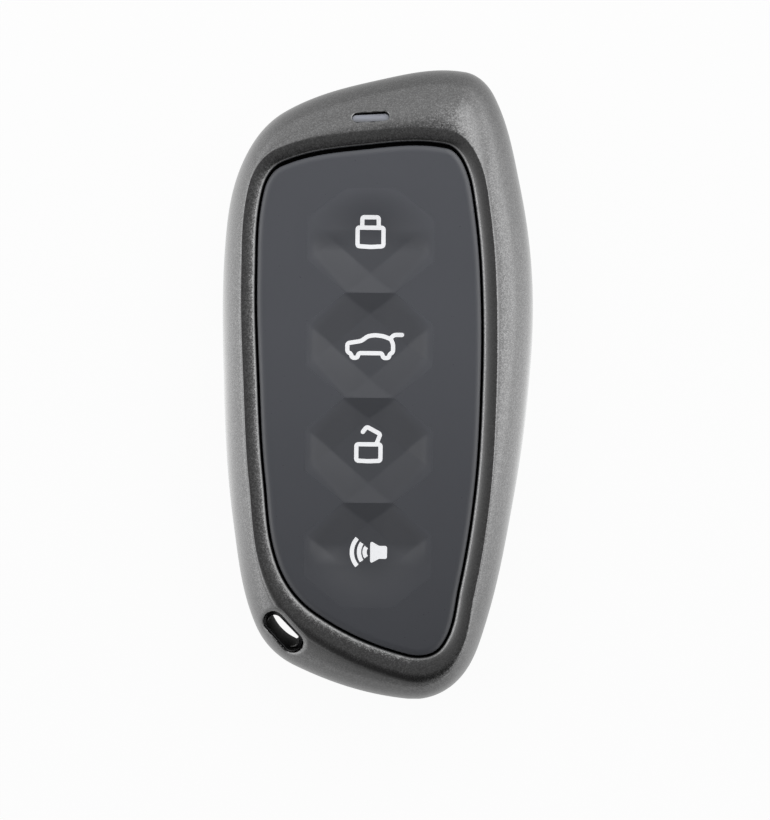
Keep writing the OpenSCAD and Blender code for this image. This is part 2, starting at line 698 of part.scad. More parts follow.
// Emergency key
blade_in = 7;        // blade moulded into the head
tip_w = 2;
tip_l = 2.5;
track_w = 1.2;       // track milled in both faces
track_x = 1.6;
track_l = 26;
track_d = 0.4;
pocket_d = 0.8;      // pocket for the catch's nose
module key_blade() color("#bfc2c5") {
    difference() {
        translate([key_x, 0, blade_z]) linear_extrude(blade_t) polygon([
            [blade_w / 2, head_y + blade_in], [-blade_w / 2, head_y + blade_in],
            [-blade_w / 2, blade_tip + tip_l], [-tip_w / 2, blade_tip],
            [tip_w / 2, blade_tip], [blade_w / 2, blade_tip + tip_l]]);
        for (z = [blade_z + track_d - cut, blade_top - track_d])
            block(key_x - track_x - track_w / 2, key_x - track_x + track_w / 2,
                blade_tip - cut, blade_tip + track_l, z, z + cut);
        block(key_x - catch_w / 2 - nose_gap, key_x + catch_w / 2 + nose_gap,
            nose_y - nose_gap, nose_y + nose_l + nose_gap, blade_top - pocket_d, web_z);
    }
}

// The rear half's outer shape as one solid, which the head and the release button take their faces from
module rear_shape() {
    skin(side(body_ring, back_ring, rear_top, 0, REAR_BULGE, FALL));
}

module key_head() color("#1b1c1e") {
    difference() {
        intersection() {
            rear_shape();
            block(key_x - head_w / 2, key_x + head_w / 2, head_y, top + cut, head_z, head_top);
        }
        block(key_x - blade_w / 2, key_x + blade_w / 2, head_y - cut, head_y + blade_in, blade_z, blade_top);
    }
}

module key_catch() color("#a9adb1") {
    x0 = key_x - catch_w / 2;
    x1 = key_x + catch_w / 2;
    block(x0, x1, release_y - catch_l, nose_y + nose_l, catch_z, catch_z + catch_t);
    block(x0, x1, nose_y, nose_y + nose_l, blade_top - nose_in, catch_z + catch_t / 2);
}

flange_x = 1;        // thickness of the release button's flange
flange_low = 0.2;    // flange above the button's underside
module release_button() color("#1b1c1e") {
    tip = key_x + catch_w / 2 + tongue_gap;
    intersection() {
        rear_shape();
        block(release_x, right + cut, release_y - release_l / 2, release_y + release_l / 2,
            release_z, head_top);
    }
    // Flange that keeps it in the case
    block(release_x, release_x + flange_x,
        release_y - release_l / 2 - flange_over, release_y + release_l / 2 + flange_over,
        release_z + flange_low, web_z - slide_gap);
    // Tongue with its ramp
    strip([[tip, tongue_z], [release_x + flange_x / 2, tongue_z], [release_x + flange_x / 2, tongue_top],
        [tip + tongue_ramp, tongue_top], [tip, tongue_z + tongue_tip]], release_y - tongue_w / 2, tongue_w);
}

// Return spring between the key's rail and the release button's flange
wire = 0.25;
coil_d = 1.6;        // middle of the wire
spring_off = 2;      // from the release button's middle
spring_drop = 1.3;   // below the chassis plate
TURNS = 4;
TURN_RINGS = 12;
WIRE_SIDES = 6;
module release_spring() color("#b4b7ba") {
    x0 = key_x + rail_in + rail_t + fit + join;
    run = release_x - fit - join - wire - x0;
    rings = TURNS * TURN_RINGS;
    skin([for (k = [0 : rings]) let (a = 360 * k / TURN_RINGS)
        [for (s = [0 : WIRE_SIDES - 1]) let (
            b = 360 * s / WIRE_SIDES,
            r = coil_d / 2 + wire / 2 * cos(b))
            [x0 + wire / 2 + run * k / rings + wire / 2 * sin(b),
             release_y + spring_off + r * cos(a),
             web_z - spring_drop + r * sin(a)]]]);
}

screw_head = 1.2;    // head's diameter over the shank's
screw_head_t = 0.8;
module screws() color("#8f9296") {
    at_screws() translate([0, 0, web_z]) {
        translate([0, 0, -screw_head_t]) cylinder(d = screw_d + screw_head, h = screw_head_t);
        translate([0, 0, -join]) cylinder(d = screw_d, h = screw_l + join);
    }
}

front_cover();
chassis();
rear_cover();
seal();
keypad_pad();
keypad_carrier();
button_lock();
button_tailgate();
button_unlock();
button_horn();
circuit_board();
switch_bodies();
switch_covers();
switch_stem_lock();
switch_stem_tailgate();
switch_stem_unlock();
switch_stem_horn();
led_chip();
light_guide();
controller_chip();
radio_chip();
crystal();
passives();
antenna_core();
antenna_winding();
coin_cell_can();
coin_cell_cap();
coin_cell_gasket();
battery_contact_positive();
battery_contact_negative();
key_blade();
key_head();
key_catch();
release_button();
release_spring();
screws();
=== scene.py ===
import math
import bmesh
import bpy
import numpy as np
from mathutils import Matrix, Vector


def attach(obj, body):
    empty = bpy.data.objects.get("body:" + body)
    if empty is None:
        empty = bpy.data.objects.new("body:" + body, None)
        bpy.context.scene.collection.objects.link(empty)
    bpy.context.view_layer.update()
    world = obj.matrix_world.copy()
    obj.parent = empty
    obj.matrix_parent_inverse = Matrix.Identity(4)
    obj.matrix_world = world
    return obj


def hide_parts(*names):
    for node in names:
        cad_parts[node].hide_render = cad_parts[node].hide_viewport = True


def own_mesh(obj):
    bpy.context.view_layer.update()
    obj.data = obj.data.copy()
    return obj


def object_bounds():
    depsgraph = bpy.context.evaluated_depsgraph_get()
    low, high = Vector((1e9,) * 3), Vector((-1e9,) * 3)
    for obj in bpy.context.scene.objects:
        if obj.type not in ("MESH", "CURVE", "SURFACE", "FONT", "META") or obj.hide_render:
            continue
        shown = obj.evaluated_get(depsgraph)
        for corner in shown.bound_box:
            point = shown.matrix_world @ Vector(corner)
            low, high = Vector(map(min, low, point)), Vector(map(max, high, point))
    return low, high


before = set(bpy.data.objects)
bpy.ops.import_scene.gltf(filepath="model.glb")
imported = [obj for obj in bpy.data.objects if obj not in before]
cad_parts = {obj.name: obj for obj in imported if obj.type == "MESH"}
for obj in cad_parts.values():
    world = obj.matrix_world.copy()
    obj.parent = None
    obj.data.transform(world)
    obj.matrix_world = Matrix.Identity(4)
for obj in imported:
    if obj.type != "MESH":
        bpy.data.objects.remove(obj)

cad_box = [list(corner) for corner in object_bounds()]

# Front cover
# A moulded shell, sprayed in graphite paint with fine metal flake under a satin clear coat.
# It clips over the chassis, frames the keypad, and has the lamp slot and the lanyard hole in it.
MM = 0.001
body_w = 41.6
body_l = 84.0
parting_z = 5.8
crest_z = 14.5
wall = 1.5
rim_right = 7.0
rim_left = 4.8
rim_top = 10.5
rim_bottom = 6.2
side_crest_w = 1.9
near_end_crest_w = 2.98    # the raised rim is broader along the near end
right = body_w / 2
left = -body_w / 2
top = body_l / 2
bottom = -body_l / 2
open_right = right - rim_right
open_left = left + rim_left
open_top = top - rim_top
open_bottom = bottom + rim_bottom
# Points of the outline and of the keypad opening, counter-clockwise from the middle of the right side
BODY = [
    (right - 0.5, 0.5), (right - 0.1, 13.9), (right - 1.8, top - 15.2), (right - 5.1, top - 3.6),
    (right - 9.1, top - 0.2), (0.9, top - 1.1), (left + 8.5, top - 5.5), (left + 3, top - 11.8),
    (left + 0.5, 20.1), (left + 0.2, -0.5), (left + 1.5, -18.7), (left + 4.5, bottom + 9.7),
    (left + 9.7, bottom + 4.4), (4, bottom), (right - 10.3, bottom + 2.3),
    (right - 6.5, bottom + 9.6), (right - 2.7, -15.6)]
OPENING = [
    (open_right - 0.1, -0.1), (open_right - 0.1, 12.6), (open_right - 0.9, open_top - 9),
    (open_right - 2.3, open_top - 2.8), (open_right - 4.9, open_top - 0.2), (-1.2, open_top - 0.3),
    (open_left + 3.6, open_top - 2.5), (open_left + 0.9, open_top - 6.2), (open_left, 14.2),
    (open_left + 0.3, 0.3), (open_left + 1, -12), (open_left + 2.8, open_bottom + 12.1),
    (open_left + 7.7, open_bottom + 5.7), (3.8, open_bottom + 0.2), (open_right - 5.4, open_bottom + 1.3),
    (open_right - 3, open_bottom + 9.2), (open_right - 0.9, -13.7)]
HANDLE = 0.35              # reach of the curves' handles, as a share of each chord
# Steps from each outline point to the next, closer together beside the lamp slot and the lanyard hole
LAMP_STRETCHES = (4, 5)
HOLE_STRETCHES = (10, 11, 12)
FINE_STEPS = 80
STEPS = 24
stretch_steps = [FINE_STEPS if i in LAMP_STRETCHES + HOLE_STRETCHES else STEPS for i in range(len(BODY))]


def unit(v):
    return v / np.linalg.norm(v, axis=-1, keepdims=True)


def smooth_loop(points, steps):
    """Closed curve through the points, whose tangents run along the chords of the neighbours."""
    p = np.array(points, float)
    rows = []
    for i, count in enumerate(steps):
        a, b, c, d = (p[(i + k) % len(p)] for k in (-1, 0, 1, 2))
        reach = HANDLE * np.linalg.norm(c - b)
        t = np.arange(count)[:, None] / count
        leave = b + reach * unit(c - a)
        arrive = c - reach * unit(d - b)
        first_half = (1 - t) ** 3 * b + 3 * t * (1 - t) ** 2 * leave
        rows.append(first_half + 3 * t * t * (1 - t) * arrive + t ** 3 * c)
    return np.concatenate(rows)


def inset(ring, distance):
    """The ring moved inwards, or outwards where the distance is negative."""
    along = unit(np.roll(ring, -1, axis=0) - np.roll(ring, 1, axis=0))
    return ring + np.reshape(distance, (-1, 1)) * np.column_stack([-along[:, 1], along[:, 0]])


def at_z(ring, z):
    return np.column_stack([ring, np.broadcast_to(z, len(ring))])


def side(low, high, low_z, high_z, bulge, shares):
    """Rings of a rounded side: upright at the low ring, and leaning in towards the high one."""
    return [at_z(low + (high - low) * np.reshape(u * u, (-1, 1)),
                 low_z + (high_z - low_z) * (2 * u * (1 - u) * bulge + u * u)) for u in shares]


def bend(start, corner, end, count):
    """Rings of a curve from the start ring to the end ring that takes the place of a sharp corner."""
    return [(1 - t) ** 2 * start + 2 * t * (1 - t) * corner + t * t * end
            for t in np.linspace(0, 1, count)]


def skin(name, rings, closed=False):
    """A piece whose skin runs over rings of equally many points; its ends are joined, or capped."""
    m = len(rings)
    n = len(rings[0])
    faces = []
    for k in range(m if closed else m - 1):
        a = k * n
        b = (k + 1) % m * n
        faces += [(a + i, a + (i + 1) % n, b + (i + 1) % n, b + i) for i in range(n)]
    if not closed:
        faces.append(tuple(reversed(range(n))))
        faces.append(tuple((m - 1) * n + i for i in range(n)))
    return piece_from(name, np.concatenate(rings), faces)


def piece_from(name, points, faces):
    mesh = bpy.data.meshes.new(name)
    mesh.from_pydata((np.asarray(points) * MM).tolist(), [], faces)
    mesh.update()
    piece = bpy.data.objects.new(name, mesh)
    bpy.context.scene.collection.objects.link(piece)
    return piece


def applied(piece):
    """The piece with its modifiers made part of its mesh."""
    solved = piece.evaluated_get(bpy.context.evaluated_depsgraph_get())
    mesh = bpy.data.meshes.new_from_object(solved)
    piece.modifiers.clear()
    piece.data = mesh
    return piece


def carve(piece, tools, operation="DIFFERENCE"):
    """Cuts the tools out of the piece, or keeps what lies in them."""
    for tool in tools:
        cut = piece.modifiers.new(tool.name, "BOOLEAN")
        cut.operation = operation
        cut.solver = "EXACT"
        cut.object = tool
    applied(piece)
    for tool in tools:
        bpy.data.objects.remove(tool)
    return piece


def shade(piece, sharp_from=32):
    """Smooth shading, with a sharp line where two faces meet at more than the angle."""
    bm = bmesh.new()
    bm.from_mesh(piece.data)
    for face in bm.faces:
        face.smooth = True
    for edge in bm.edges:
        edge.smooth = edge.calc_face_angle(0) < math.radians(sharp_from)
    bm.to_mesh(piece.data)
    bm.free()
    return piece


CAP_POINTS = 17
EDGE_POINTS = 13


def oblong(length, width, centre, turn):
    """Ring of an oblong with round ends, with points along its straight sides too."""
    a = np.radians(np.linspace(-90, 90, CAP_POINTS))
    cap = np.column_stack([(length - width) / 2 + width / 2 * np.cos(a), width / 2 * np.sin(a)])
    side_x = np.linspace(1, -1, EDGE_POINTS)[1:-1, None] * (length - width) / 2
    edge = np.column_stack([side_x, np.full(len(side_x), width / 2)])
    half = np.concatenate([cap, edge])
    x, y = np.concatenate([half, -half]).T
    c, s = math.cos(math.radians(turn)), math.sin(math.radians(turn))
    return np.column_stack([centre[0] + x * c - y * s, centre[1] + x * s + y * c])


def sink_lip(rings, length, width, centre, turn, radius):
    """Rounds the rings down towards the edge of an oblong hole, and a little past it."""
    past_edge = 0.1 * radius
    c, s = math.cos(math.radians(turn)), math.sin(math.radians(turn))
    for ring in rings:
        x = (ring[:, 0] - centre[0]) * c + (ring[:, 1] - centre[1]) * s
        y = (ring[:, 1] - centre[1]) * c - (ring[:, 0] - centre[0]) * s
        gap = np.hypot(np.maximum(np.abs(x) - (length - width) / 2, 0), y) - width / 2 + past_edge
        rest = radius - np.clip(gap, 0, radius)
        ring[:, 2] -= radius - np.sqrt(radius ** 2 - rest ** 2)


box_low, box_high = (np.array(corner[:2]) / MM for corner in cad_box)
body_ring = np.clip(smooth_loop(BODY, stretch_steps), box_low, box_high)
open_ring = smooth_loop(OPENING, stretch_steps)
side_bulge = 0.7           # fullness of the side's curve along the long sides
end_bulge = 0.81           # and round both ends
seam_bevel = 0.15          # edge along the joint of the covers
bevel_mid = 0.3 * seam_bevel
foot_share = 0.0125        # share of the side at which it rises from that edge
ridge_start = 0.955        # share of the side at which the outer edge of the raised rim sets in
ridge_round = 0.12
near_end_ridge_start = 0.94
near_end_ridge_round = 0.9
side_rings = 84
ridge_rings = 12
band_rings = 12
opening_lip_rings = 8
inside_rings = 12
side_drop = 0.28           # fall of the rim's band from the ridge to its lip
lamp_end_drop = 0.16
band_flat = 0.9            # where that fall sets in, from the opening
band_crown = 0.04
lip_w = 0.24               # round lip of the opening
lip_h = 0.5
lip_corner_in = 0.02
lip_corner_drop = 0.12
ledge_z = 12.4
pocket_out = 1.3
inner_top = crest_z - wall
crest_wall = 0.3
lamp_l = 4.9
lamp_w = 1.25
lamp_pos = (-0.9, open_top + 3.4)
lamp_turn = 3
lamp_lip = 0.16
hole_l = 6.5
hole_w = 2.9
hole_pos = (left + 8.35, bottom + 9.4)
hole_turn = -48
hole_lip = 0.75
cut_past = 1.0             # cutting tools reach past the surface by this much
run = unit(np.roll(body_ring, -1, axis=0) - np.roll(body_ring, 1, axis=0))
front_bulge = side_bulge + (end_bulge - side_bulge) * run[:, 0] ** 2
open_run = unit(np.roll(open_ring, -1, axis=0) - np.roll(open_ring, 1, axis=0))
lamp_end = np.maximum(-open_run[:, 0], 0) ** 3
near_end = np.maximum(open_run[:, 0], 0)
crest_w = side_crest_w + (near_end_crest_w - side_crest_w) * near_end
band_drop = side_drop + (lamp_end_drop - side_drop) * lamp_end
crest_ring = inset(open_ring, -crest_w)
last_share = ridge_start + (near_end_ridge_start - ridge_start) * near_end
outer_side = side(body_ring, crest_ring, parting_z, crest_z, front_bulge,
                  np.linspace(foot_share, last_share, side_rings))
ridge_in = ridge_round + (near_end_ridge_round - ridge_round) * near_end
ridge_end = at_z(inset(open_ring, -crest_w + ridge_in), crest_z)
ridge = bend(outer_side[-1], at_z(crest_ring, crest_z), ridge_end, ridge_rings)
sink_lip(outer_side, lamp_l, lamp_w, lamp_pos, lamp_turn, lamp_lip)
sink_lip(outer_side + ridge, hole_l, hole_w, hole_pos, hole_turn, hole_lip)
lip_start = at_z(inset(open_ring, -lip_w), crest_z - band_drop)
band = bend(ridge_end, at_z(inset(open_ring, -band_flat), crest_z - band_crown), lip_start, band_rings)
lip = bend(lip_start, at_z(inset(open_ring, -lip_corner_in), crest_z - band_drop - lip_corner_drop),
           at_z(open_ring, crest_z - band_drop - lip_h), opening_lip_rings)
pocket = inset(open_ring, -pocket_out)
painted_rings = (
    [at_z(inset(body_ring, seam_bevel), parting_z),
     at_z(inset(body_ring, bevel_mid), parting_z + bevel_mid)]
    + outer_side + ridge[1:] + band[1:] + lip[1:])
bare_rings = (
    [at_z(open_ring, ledge_z), at_z(pocket, ledge_z), at_z(pocket, inner_top)]
    + side(inset(body_ring, wall), inset(open_ring, -side_crest_w + crest_wall), parting_z, inner_top,
           front_bulge, np.linspace(1, 0, inside_rings)))
front_cover = skin("front_cover_shell", painted_rings + bare_rings, closed=True)


class Field:
    """A value that varies over a surface: an output socket in a node tree, or the bare tree at the start.
    Arithmetic on fields adds Math nodes to the tree."""

    def __init__(self, tree, socket=None):
        self.tree = tree
        self.socket = socket

    def node(self, kind, settings=None, sockets=None, output=0):
        """Any node: its settings first, then the values or fields of its sockets."""
        made = self.tree.nodes.new("ShaderNode" + kind)
        for key, value in (settings or {}).items():
            if key == "stops":
                ramp = made.color_ramp.elements
                while len(ramp) < len(value):
                    ramp.new(0.5)
                for element, (position, colour) in zip(ramp, value):
                    element.position = position
                    element.color = colour
            else:
                setattr(made, key, value)
        for key, value in (sockets or {}).items():
            self.feed(made.inputs[key], value)
        return Field(self.tree, made.outputs[output])

    def feed(self, socket, value):
        if isinstance(value, Field):
            self.tree.links.new(value.socket, socket)
        else:
            socket.default_value = value

    def math(self, operation, *values):
        return self.node("Math", {"operation": operation}, dict(enumerate(values)))

    def __add__(self, other):
        return self.math("ADD", self, other)

    def __rsub__(self, other):
        return self.math("SUBTRACT", other, self)

    def __mul__(self, other):
        return self.math("MULTIPLY", self, other)

    def __pow__(self, other):
        return self.math("POWER", self, other)

    __radd__ = __add__
    __rmul__ = __mul__

    def span(self, low, high):
        """The field from 0 at low to 1 at high, held at both ends."""
        return self.node("MapRange", {"clamp": True}, {"Value": self, "From Min": low, "From Max": high})

    def mix(self, first, second):
        """The first colour where the field is 0, and the second where it is 1."""
        return self.node("Mix", {"data_type": "RGBA"}, {0: self, 6: first, 7: second}, output=2)

    def vector(self, operation, *values):
        return self.node("VectorMath", {"operation": operation}, dict(enumerate(values)))

    def axis(self, k):
        """The x, y or z of a vector, for k of 0, 1 or 2."""
        return self.node("SeparateXYZ", None, {0: self}, output=k)


def grey(level):
    return (level, level, level, 1)


def surface(name, **sockets):
    """A material with one Principled shader; the sockets are named with _ for a space."""
    made = bpy.data.materials.new(name)
    made.use_nodes = True
    shader = made.node_tree.nodes["Principled BSDF"]
    start = Field(made.node_tree)
    for key, value in sockets.items():
        value = value(start) if callable(value) else value
        start.feed(shader.inputs[key.replace("_", " ")], value)
    return made


def place(start):
    """Place on the piece, in metres."""
    return start.node("TexCoord", output=3)


def noise(start, size, detail=2.0):
    """Soft noise whose grains are about the given size in millimetres."""
    sockets = {"Vector": place(start), "Scale": 1 / (size * MM), "Detail": detail}
    return start.node("TexNoise", None, sockets)


def bump(height, depth):
    """Normal of a surface raised by the height, which is worth depth millimetres."""
    return height.node("Bump", None, {"Height": height, "Strength": 1.0, "Distance": depth * MM})


def mottled(first, second, grain):
    """A colour that wanders between two, in grains of the given size."""
    return lambda start: noise(start, grain).mix(first, second)


def uneven(level, spread, grain):
    """A roughness that wanders up from the level by as much as the spread."""
    return lambda start: level + spread * noise(start, grain)


def grained(grain, depth, detail=2.0):
    """The normal of a fine moulded grain."""
    return lambda start: bump(noise(start, grain, detail), depth)


flake_size = 0.13
flake_tilt = 0.1
flake_contrast = 1.5       # above 1, bright flakes are the rarer ones
paint_dark = (0.2, 0.2, 0.201, 1)
paint_light = (0.35, 0.35, 0.352, 1)


def flakes(start):
    """A random colour for each flake."""
    sockets = {"Vector": place(start), "Scale": 1 / (flake_size * MM)}
    return start.node("TexVoronoi", None, sockets, output=1)


def flake_colour(start):
    level = start.node("SeparateColor", None, {0: flakes(start)}, output=0)
    return (level ** flake_contrast).mix(paint_dark, paint_light)


def flake_normal(start):
    """Each flake lies tilted a little its own way."""
    lean = start.vector("SUBTRACT", flakes(start), (0.5, 0.5, 0.5))
    lean = start.vector("MULTIPLY", lean, (flake_tilt,) * 3)
    facing = start.node("NewGeometry", output=1)
    return start.vector("NORMALIZE", start.vector("ADD", facing, lean))


case_paint = surface(
    "graphite_flake_paint", Base_Color=flake_colour, Metallic=0.95,
    Roughness=uneven(0.16, 0.04, grain=6.0), Normal=flake_normal,
    Coat_Weight=1.0, Coat_Roughness=0.12, Coat_IOR=1.6)
# Near-black, darker than the black moulding: the unpainted inside of the mouldings, and painted shade in
# the gaps and the lanyard hole.
bare_black_and_painted_shade = surface(
    "bare_black_and_painted_shade", Base_Color=mottled(grey(0.004), grey(0.008), grain=1.0),
    Roughness=uneven(0.5, 0.1, grain=0.3), Specular_IOR_Level=0.1)
front_cover.data.materials.append(case_paint)
front_cover.data.materials.append(bare_black_and_painted_shade)
# The shell's inside, from the opening's lip inwards, is bare moulding; its near-black also paints the
# shade in the gap round the keypad.
first_bare_shaded = (len(painted_rings) - 1) * len(body_ring)
for face in front_cover.data.polygons[first_bare_shaded:-len(body_ring)]:
    face.material_index = 1
lamp_ring = oblong(lamp_l, lamp_w, lamp_pos, lamp_turn)
hole_ring = oblong(hole_l, hole_w, hole_pos, hole_turn)
carve(front_cover, [skin("lamp_cut", [at_z(lamp_ring, parting_z), at_z(lamp_ring, crest_z + cut_past)])])
carve(front_cover, [skin("hole_cut", [at_z(hole_ring, 0), at_z(hole_ring, crest_z + cut_past)])])
shade(front_cover)
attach(front_cover, "case")
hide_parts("front_cover")

# Light guide
# A clear acrylic moulding, pressed into the lamp slot from inside and lit by the chip below it.
# Its window stands a little below the paint and follows the slope of the lamp end.
lens_z = 13.55
lens_slope = -0.3          # fall towards the lamp end
lens_round = 0.1
lens_gap = 0.02
lens_short = 0.2           # shadow gap along its upper side
guide_foot_z = 7.8
leg_l = 3.0
leg_w = 1.0
leg_top_z = 10.0
shoulder_z = 10.4
face_edge = 0.25           # upright edge of the window
crown_in = 0.45            # the window's middle stands up a little, from here inwards
crown_h = 0.03
edge_rings = 5
tone_change_low = 0.6            # where the window's colour changes from grey to lighter, below the slot's middle
tone_change_high = 0.1
lens_grey = (0.17, 0.175, 0.19, 1)
lens_light = (0.34, 0.355, 0.405, 1)


def on_slope(ring, drop):
    """The ring on the window's slanted face, or below it by the drop."""
    return at_z(ring, lens_z - drop + lens_slope * (ring[:, 1] - lamp_pos[1]))


window = oblong(lamp_l - 2 * lens_gap, lamp_w - 2 * lens_gap - lens_short,
                (lamp_pos[0], lamp_pos[1] - lens_short / 2), lamp_turn)
leg = oblong(leg_l, leg_w, lamp_pos, lamp_turn)
face_start = on_slope(inset(window, lens_round), 0)
lens = skin("light_guide_moulding", [
    at_z(leg, guide_foot_z), at_z(leg, leg_top_z), at_z(window, shoulder_z), on_slope(window, face_edge),
    *bend(on_slope(window, lens_round), on_slope(window, 0), face_start, edge_rings),
    on_slope(inset(window, crown_in), -crown_h)])
shade(lens)


def window_tone(start):
    """A frosted window, whose colour is greyer towards its lower side."""
    y = place(start).axis(1)
    clear = y.span((lamp_pos[1] - tone_change_low) * MM, (lamp_pos[1] - tone_change_high) * MM)
    return (clear * 0.8 + 0.2 * noise(start, 0.3)).mix(lens_grey, lens_light)


def dress(piece, finish, body, slot, *nodes):
    """Gives a piece its finish, and says what it rides on and stands for."""
    piece.data.materials.clear()
    piece.data.materials.append(finish)
    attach(piece, body)
    if nodes:
        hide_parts(*nodes)


lens_finish = surface(
    "frosted_acrylic", Base_Color=window_tone, Roughness=uneven(0.3, 0.1, grain=0.4),
    Specular_IOR_Level=0.5)
dress(lens, lens_finish, "case", "clear_guide", "light_guide")

# Keypad pad
# A sheet of charcoal silicone with a soft-touch lacquer, clamped by its flange under the opening.
# Its edge is rolled over, and four octagons are let into it for the buttons.
# Its lacquer is painted a little darker towards the near end, as shade.
pad_z = 13.95
pad_gap = 0.27
top_gap = 0.22             # more of it along the lamp end
roll_r = 2.0               # rolled edge of the pad
roll_end = 27
roll_rings = 10
flange_z = 11.9
flange_t = 0.45
flange_w = 1.1
button_pitch = 13.75
button_w = 16.7
button_flat = 6.6
button_side = 5.6
column_lean = 0.6
column_mid = ((open_left + open_right) / 2, (open_top + open_bottom) / 2 + 0.3)
seam = 0.004               # fine line round each button
cut_grow = 0.001
corner_grow = 0.4          # how far an octagon's corners move along its sides as it grows
NAMES = ("lock", "tailgate", "unlock", "horn")
slant = math.radians(column_lean)


def button_pos(i):
    """Middle of button i, from the lamp end down."""
    d = ((len(NAMES) - 1) / 2 - i) * button_pitch
    return np.array([column_mid[0] + d * math.sin(slant), column_mid[1] + d * math.cos(slant)])


def turned(points, i):
    """Points of button i's own plane, set in their place."""
    p = np.asarray(points, float)
    c, s = math.cos(slant), math.sin(slant)
    x = p[:, 0] * c + p[:, 1] * s
    y = p[:, 1] * c - p[:, 0] * s
    return np.column_stack([x, y]) + button_pos(i)


def octagon(grow=0.0):
    w = button_w / 2 + grow
    h = button_pitch / 2 + grow
    f = button_flat / 2 + corner_grow * grow
    s = button_side / 2 + corner_grow * grow
    return np.array([(w, -s), (w, s), (f, h), (-f, h), (-w, s), (-w, -s), (-f, -h), (f, -h)])


flange = inset(open_ring, -flange_w)
pad_edge = inset(open_ring, pad_gap + top_gap * lamp_end)
flange_top = flange_z + flange_t
pad_rings = [at_z(flange, flange_z), at_z(flange, flange_top), at_z(pad_edge, flange_top)]
gap_shade_faces = len(pad_rings) * len(open_ring)
for roll in np.radians(np.linspace(roll_end, 0, roll_rings)):
    ring = inset(pad_edge, roll_r * (math.sin(math.radians(roll_end)) - math.sin(roll)))
    pad_rings.append(at_z(ring, pad_z - roll_r * (1 - math.cos(roll))))
pad = skin("keypad_sheet", pad_rings)
pad_level = 0.1            # brightness of the lacquer
near_end_shade_share = 0.65        # and its share at the near end, where it is painted darker as shade
near_end_shade_until = 5.0
lacquer_green = 1.05
lacquer_blue = 1.2


def charcoal(level):
    return (level, lacquer_green * level, lacquer_blue * level, 1)


def lacquer(level):
    """Charcoal lacquer of about the level, with painted shade that makes it a little darker towards the
    near end.
    """
    def tone(start):
        y = place(start).axis(1)
        unshaded = y.span(open_bottom * MM, near_end_shade_until * MM) * 0.8 + 0.2 * noise(start, 9.0)
        return unshaded.mix(charcoal(near_end_shade_share * level), charcoal(level))
    return tone


lacquer_grain = grained(0.05, depth=0.002, detail=3.0)
soft_touch = surface(
    "soft_touch_lacquer", Base_Color=lacquer(pad_level), Roughness=uneven(0.26, 0.06, grain=0.3),
    Normal=lacquer_grain, Specular_IOR_Level=1.0)
dress(pad, soft_touch, "case", "soft_touch", "keypad_pad")
# The flange and the upright edge wall of the silicone take the near-black: painted shade in the gap round
# the pad.
pad.data.materials.append(bare_black_and_painted_shade)
for face in pad.data.polygons[:gap_shade_faces]:
    face.material_index = 1
CUT_FROM_TO = (flange_z - cut_past, crest_z)
carve(pad, [skin("octagon_cut", [at_z(turned(octagon(cut_grow), i), z) for z in CUT_FROM_TO])
            for i in range(len(NAMES))])
shade(pad)

# Buttons
# Cut-gem hollows in the same silicone: a diamond floor, with flat facets up to the octagon.
# Under each, a moulded plunger goes down to its switch; the upper and lower hollows fade into the pad.
# The lacquer in the hollows is painted darker than the pad, as shade.
floor_w = 9.9
floor_h = 8.5
floor_depth = 0.95
floor_tilt = 0.04          # the floor lies deeper at its upper end
crease = 0.012             # softness of the facets' edges
rim_ease = 0.3             # depth over which a hollow rounds into the pad at its two sides
least_ease = 0.01          # and elsewhere
ease_from = 2.0            # where that rounding begins, sideways from the middle, and its run
ease_run = 6.0
fade_run = 3.0             # length over which a crisp half passes into a faded one
button_t = 1.15
plunger_d = 4.0
plunger_z = 8.9
rim_steps = 20
dish_rings = 60
middle_share = 0.01        # size of the innermost ring
FADE_WAY = {"lock": 1, "horn": -1}    # which half of a hollow fades: towards +Y or -Y
hollow_shade_level = 0.081       # brightness of the lacquer in a hollow, painted darker than the pad as shade
like_pad_level = 0.102     # and where it passes into the pad
# Shares of a button's half size over which the hollow's painted shade passes into the pad's tone
RIM_SPAN = (0.8, 1.0)
SIDE_SPAN = (0.3, 0.65)
HALF_SPAN = (-0.25, 0.25)
FADE_SPAN = (0.25, 1.0)


def facet_heights(u, v):
    """Heights of the eight facets' planes and of the floor, over the button's own plane."""
    w, h, f, s = button_w / 2, button_pitch / 2, button_flat / 2, button_side / 2
    planes = [-floor_depth - floor_tilt * v]
    for way in (-1, 1):
        depth = floor_depth + way * floor_tilt * floor_h / 2
        planes.append(-depth * (h - way * v) / (h - floor_h / 2))
        planes.append(-floor_depth * (w - way * u) / (w - floor_w / 2))
    along = np.array([-floor_w / 2, floor_h / 2])
    out = np.array([along[1], -along[0]]) / np.linalg.norm(along)
    corner = np.array([(w + f) / 2, (h + s) / 2])
    run = (corner - [floor_w / 2, 0]) @ out
    for x, y in ((1, 1), (1, -1), (-1, 1), (-1, -1)):
        reach = (x * u - floor_w / 2) * out[0] + y * v * out[1]
        planes.append(planes[0] * (1 - reach / run))
    return np.array(planes)


def soft_max(values, softness):
    peak = values.max(axis=0)
    return peak + softness * np.log(np.exp((values - peak) / softness).sum(axis=0))


